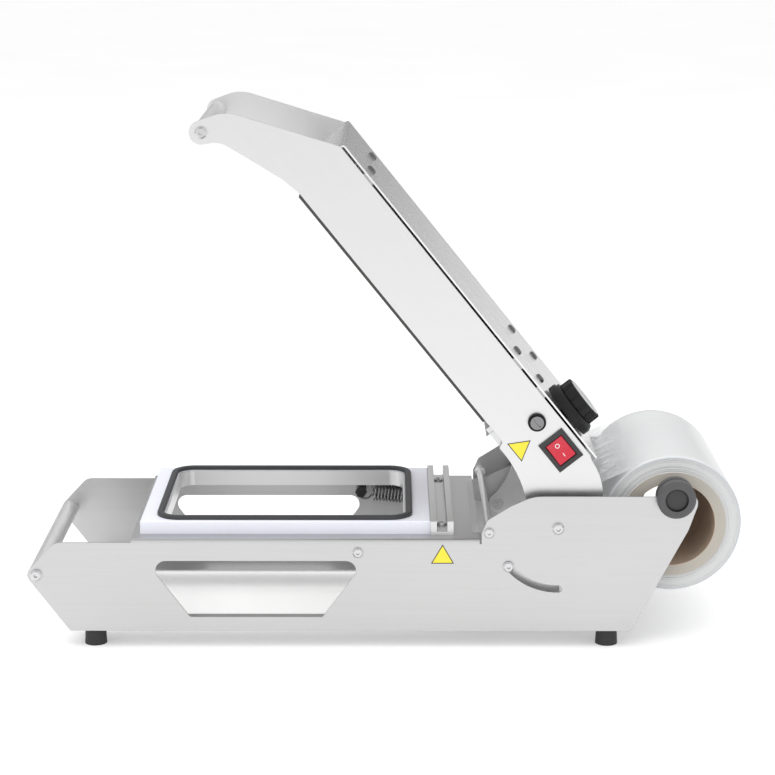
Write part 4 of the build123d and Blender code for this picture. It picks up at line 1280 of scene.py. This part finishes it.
        a = np.linspace(-self.rocker_half, self.rocker_half, 33)
        w = np.linspace(-1, 1, 13) * (self.rocker_width - 0.0002)
        low = np.full_like(a, -0.0014)
        shell = Shell()
        shell.grid(at(a[:, None], w[None], face(a)[:, None] + 0 * w[None]))
        shell.grid(at(a[:, None], w[None], low[:, None] + 0 * w[None]))
        for edge in (w[0], w[-1]):
            shell.grid(np.stack([at(a, np.full_like(a, edge), face(a)), at(a, np.full_like(a, edge), low)]))
        for end in (a[0], a[-1]):
            shell.grid(np.stack([at(end, w, face(end)), at(end, w, -0.0014)]))
        piece = shell.build("rocker_key", self.shop.finish(RED_LENS), 30.0)
        bevel = piece.modifiers.new("soft_edges", "BEVEL")
        bevel.width, bevel.segments, bevel.limit_method = 0.0005, 3, "ANGLE"
        self.shop.settle(piece, "rocker", "red_plastic", "rocker_cap")
        angle = np.linspace(0, TAU, 40, endpoint=False)
        lip = np.array([(0.0015, -0.0001), (0.0015, 0.00012), (0.0021, 0.00012), (0.0021, -0.0001)])
        ring_a = -0.0048 + lip[:, :1] * np.cos(angle)[None]
        ring = at(ring_a, lip[:, :1] * np.sin(angle)[None], face(ring_a) + lip[:, 1:])
        marks = Shell().grid(ring, True, True)
        bar_a = 0.0048 + np.array([-0.0017, 0.0017])[:, None] + np.zeros((2, 4))
        bar_w = np.array([[-0.0003, -0.0003, 0.0003, 0.0003]]) + np.zeros((2, 4))
        bar_h = face(bar_a) + np.array([[-0.0001, 0.00012, 0.00012, -0.0001]])
        bar = at(bar_a, bar_w, bar_h)
        marks.grid(bar, wrap_columns=True)
        for end in bar:
            marks.grid(np.stack([end[[0, 3]], end[[1, 2]]]))
        self.shop.settle(marks.build("rocker_marks", self.shop.finish(WHITE_INK)), "rocker", "white_plastic")

    def stickers(self) -> None:
        """Dresses the triangles: a black line follows their sides, and the field is plain."""
        yellow = (0.86, 0.73, 0.05)
        low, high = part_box("base_label")
        side = high.x - low.x
        centre = ((low.x + high.x) / 2, 0.0, low.z + side * 0.29)
        self.shop.dress(Sticker("base_sticker", yellow, 0.35, centre=centre, side=side), "base_label")
        layout = self.shop.layout
        centre = tuple(layout.lid(self.arm_sticker[0], 0.0, self.arm_sticker[1]))
        finish = Sticker("arm_sticker", yellow, 0.35, centre=centre, turn=layout.swing, side=self.sticker_side)
        self.shop.dress(finish, "arm_label")


# ------------------------------------------------------------------ sheet metal and hardware
@dataclass
class BaseFrame:
    """Folded base: side panels, deck, feet, front grip and its screws."""

    shop: Workshop

    def build(self) -> None:
        """Dresses the base's nodes."""
        dress = self.shop.dress
        dress(PANEL_STEEL, "side_panel_right", "side_panel_left")
        dress(DECK_STEEL, "deck_plate")
        dress(FOOT_RUBBER, "rubber_feet")
        dress(TUBE_STEEL, "front_grip_tube")
        dress(SATIN_ALLOY, "cutter_channel")
        dress(
            SCREW_STEEL, "foot_screws", "front_grip_screws", "die_screws", "channel_screws", "guide_screws",
            "pivot_screws", "pivot_spacers",
        )
        dress(Blackened("anchor_steel", SCREW_STEEL.colour, SCREW_STEEL.roughness), "spring_anchors")


@dataclass
class HeatedLid:
    """Lid: side sheets, cover, heater stack, blade, grip and bushes."""

    shop: Workshop

    def build(self) -> None:
        """Dresses the lid's nodes; the grain follows the swung lid."""
        dress = self.shop.dress
        swing = self.shop.layout.swing
        arm = BrushedMetal("arm_steel", (0.72, 0.72, 0.72), 0.36, turn=swing)
        dress(arm, "arm_side_right", "arm_side_left")
        dress(BrushedMetal("cover_steel", (0.86, 0.86, 0.86), 0.27, turn=swing), "arm_cover")
        dress(MILL_STEEL, "cross_bars", "element_clamp", "electrics_tray")
        dress(COATED_ALLOY, "heating_plate")
        dress(Woven("glass_cloth", (0.2, 0.15, 0.1), 0.5, turn=swing), "ptfe_sheet")
        dress(MICA_SHEET, "heating_element")
        dress(FELT, "insulation_blanket")
        dress(CERAMIC, "terminal_block")
        dress(SATIN_ALLOY, "blade_holder")
        dress(BLADE_STEEL, "cutting_blade")
        dress(TUBE_STEEL, "arm_grip_tube")
        dress(
            SCREW_STEEL, "heater_studs", "clamp_screws", "blade_screws", "arm_grip_screws", "stop_screws",
        )
        dress(DARK_SCREW, "cover_screws")


# ------------------------------------------------------------------ studio
@dataclass
class Studio:
    """Pale floor that glows a little, soft light from above and in front, and the camera."""

    camera_place: Point = (0.00592, -1.9756, 0.67432)
    pitch: float = 13.113
    yaw: float = 0.114
    lens: float = 102.2
    floor_half: float = 25.0
    back_low: float = 0.3
    zenith_loss: float = 0.3

    def build(self) -> None:
        """Makes the floor, the world, the lamps and the camera."""
        self.floor()
        self.world()
        self.lamp("overhead", (0.1, -0.3, 2.4), (0.0, 0.0, 0.0), 2.6, 32.0)
        self.lamp("front_left", (-1.8, -2.2, 1.7), (0.0, 0.0, 0.2), 1.6, 9.0)
        self.camera()
        scene = bpy.context.scene
        scene.view_settings.view_transform = "Standard"
        scene.view_settings.look = "None"

    def floor(self) -> None:
        """A wide level sheet with a faint mottle."""
        reach = np.linspace(-self.floor_half, self.floor_half, 9)
        grid = np.stack(np.meshgrid(reach, reach, [0.0], indexing="ij"), -1)[:, :, 0]
        finish = Glowing("studio_floor", (0.8, 0.8, 0.8), 0.9, specular=0.1)
        piece = Shell().grid(grid).build("studio_floor", finish.build())

    def world(self) -> None:
        """Light from all round, dimmer low behind the object and overhead, so that steel reads darker."""
        scene = bpy.context.scene
        scene.world = scene.world or bpy.data.worlds.new("studio")
        tree = Tree(scene.world)
        _, y, z = tree.split(tree.wire("ShaderNodeTexCoord", "Generated"))
        behind = y.ramp(0.3, 0.8) * (1.0 - z.ramp(0.24, 0.42))
        above = z.ramp(0.82, 0.98)
        strength = (1.0 - behind * (1.0 - self.back_low)) * (1.0 - above * self.zenith_loss)
        light = tree.wire("ShaderNodeBackground", inputs={"Color": (1, 1, 1, 1), "Strength": strength * 0.95})
        tree.node("ShaderNodeOutputWorld", None, {"Surface": light})

    def lamp(self, name: str, place: Point, target: Point, size: float, power: float) -> None:
        """Adds a square soft lamp that faces a target."""
        data = bpy.data.lights.new(name, "AREA")
        data.size, data.energy = size, power
        lamp = bpy.data.objects.new(name, data)
        bpy.context.scene.collection.objects.link(lamp)
        lamp.location = place
        aim = Vector(target) - Vector(place)
        lamp.rotation_euler = aim.to_track_quat("-Z", "Y").to_euler()
        lamp.visible_glossy = False

    def camera(self) -> None:
        """Adds the camera, level and a little above the object."""
        data = bpy.data.cameras.new("camera")
        data.sensor_width, data.lens = 36.0, self.lens
        data.clip_start, data.clip_end = 0.05, 100.0
        camera = bpy.data.objects.new("camera", data)
        bpy.context.scene.collection.objects.link(camera)
        camera.location = self.camera_place
        camera.rotation_euler = (math.radians(90 - self.pitch), 0.0, math.radians(self.yaw))
        bpy.context.scene.camera = camera


def main() -> None:
    """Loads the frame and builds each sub-assembly."""
    logging.basicConfig(level=logging.INFO, format="%(name)s: %(message)s")
    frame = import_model()
    shop = Workshop(frame, Layout.read(frame))
    BaseFrame(shop).build()
    HeatedLid(shop).build()
    TraySeat(shop).build()
    FilmSupply(shop).build()
    Controls(shop).build()
    for side in Side:
        LidSpring(shop, side).build()
    Studio().build()


if __name__ == "__main__":
    main()
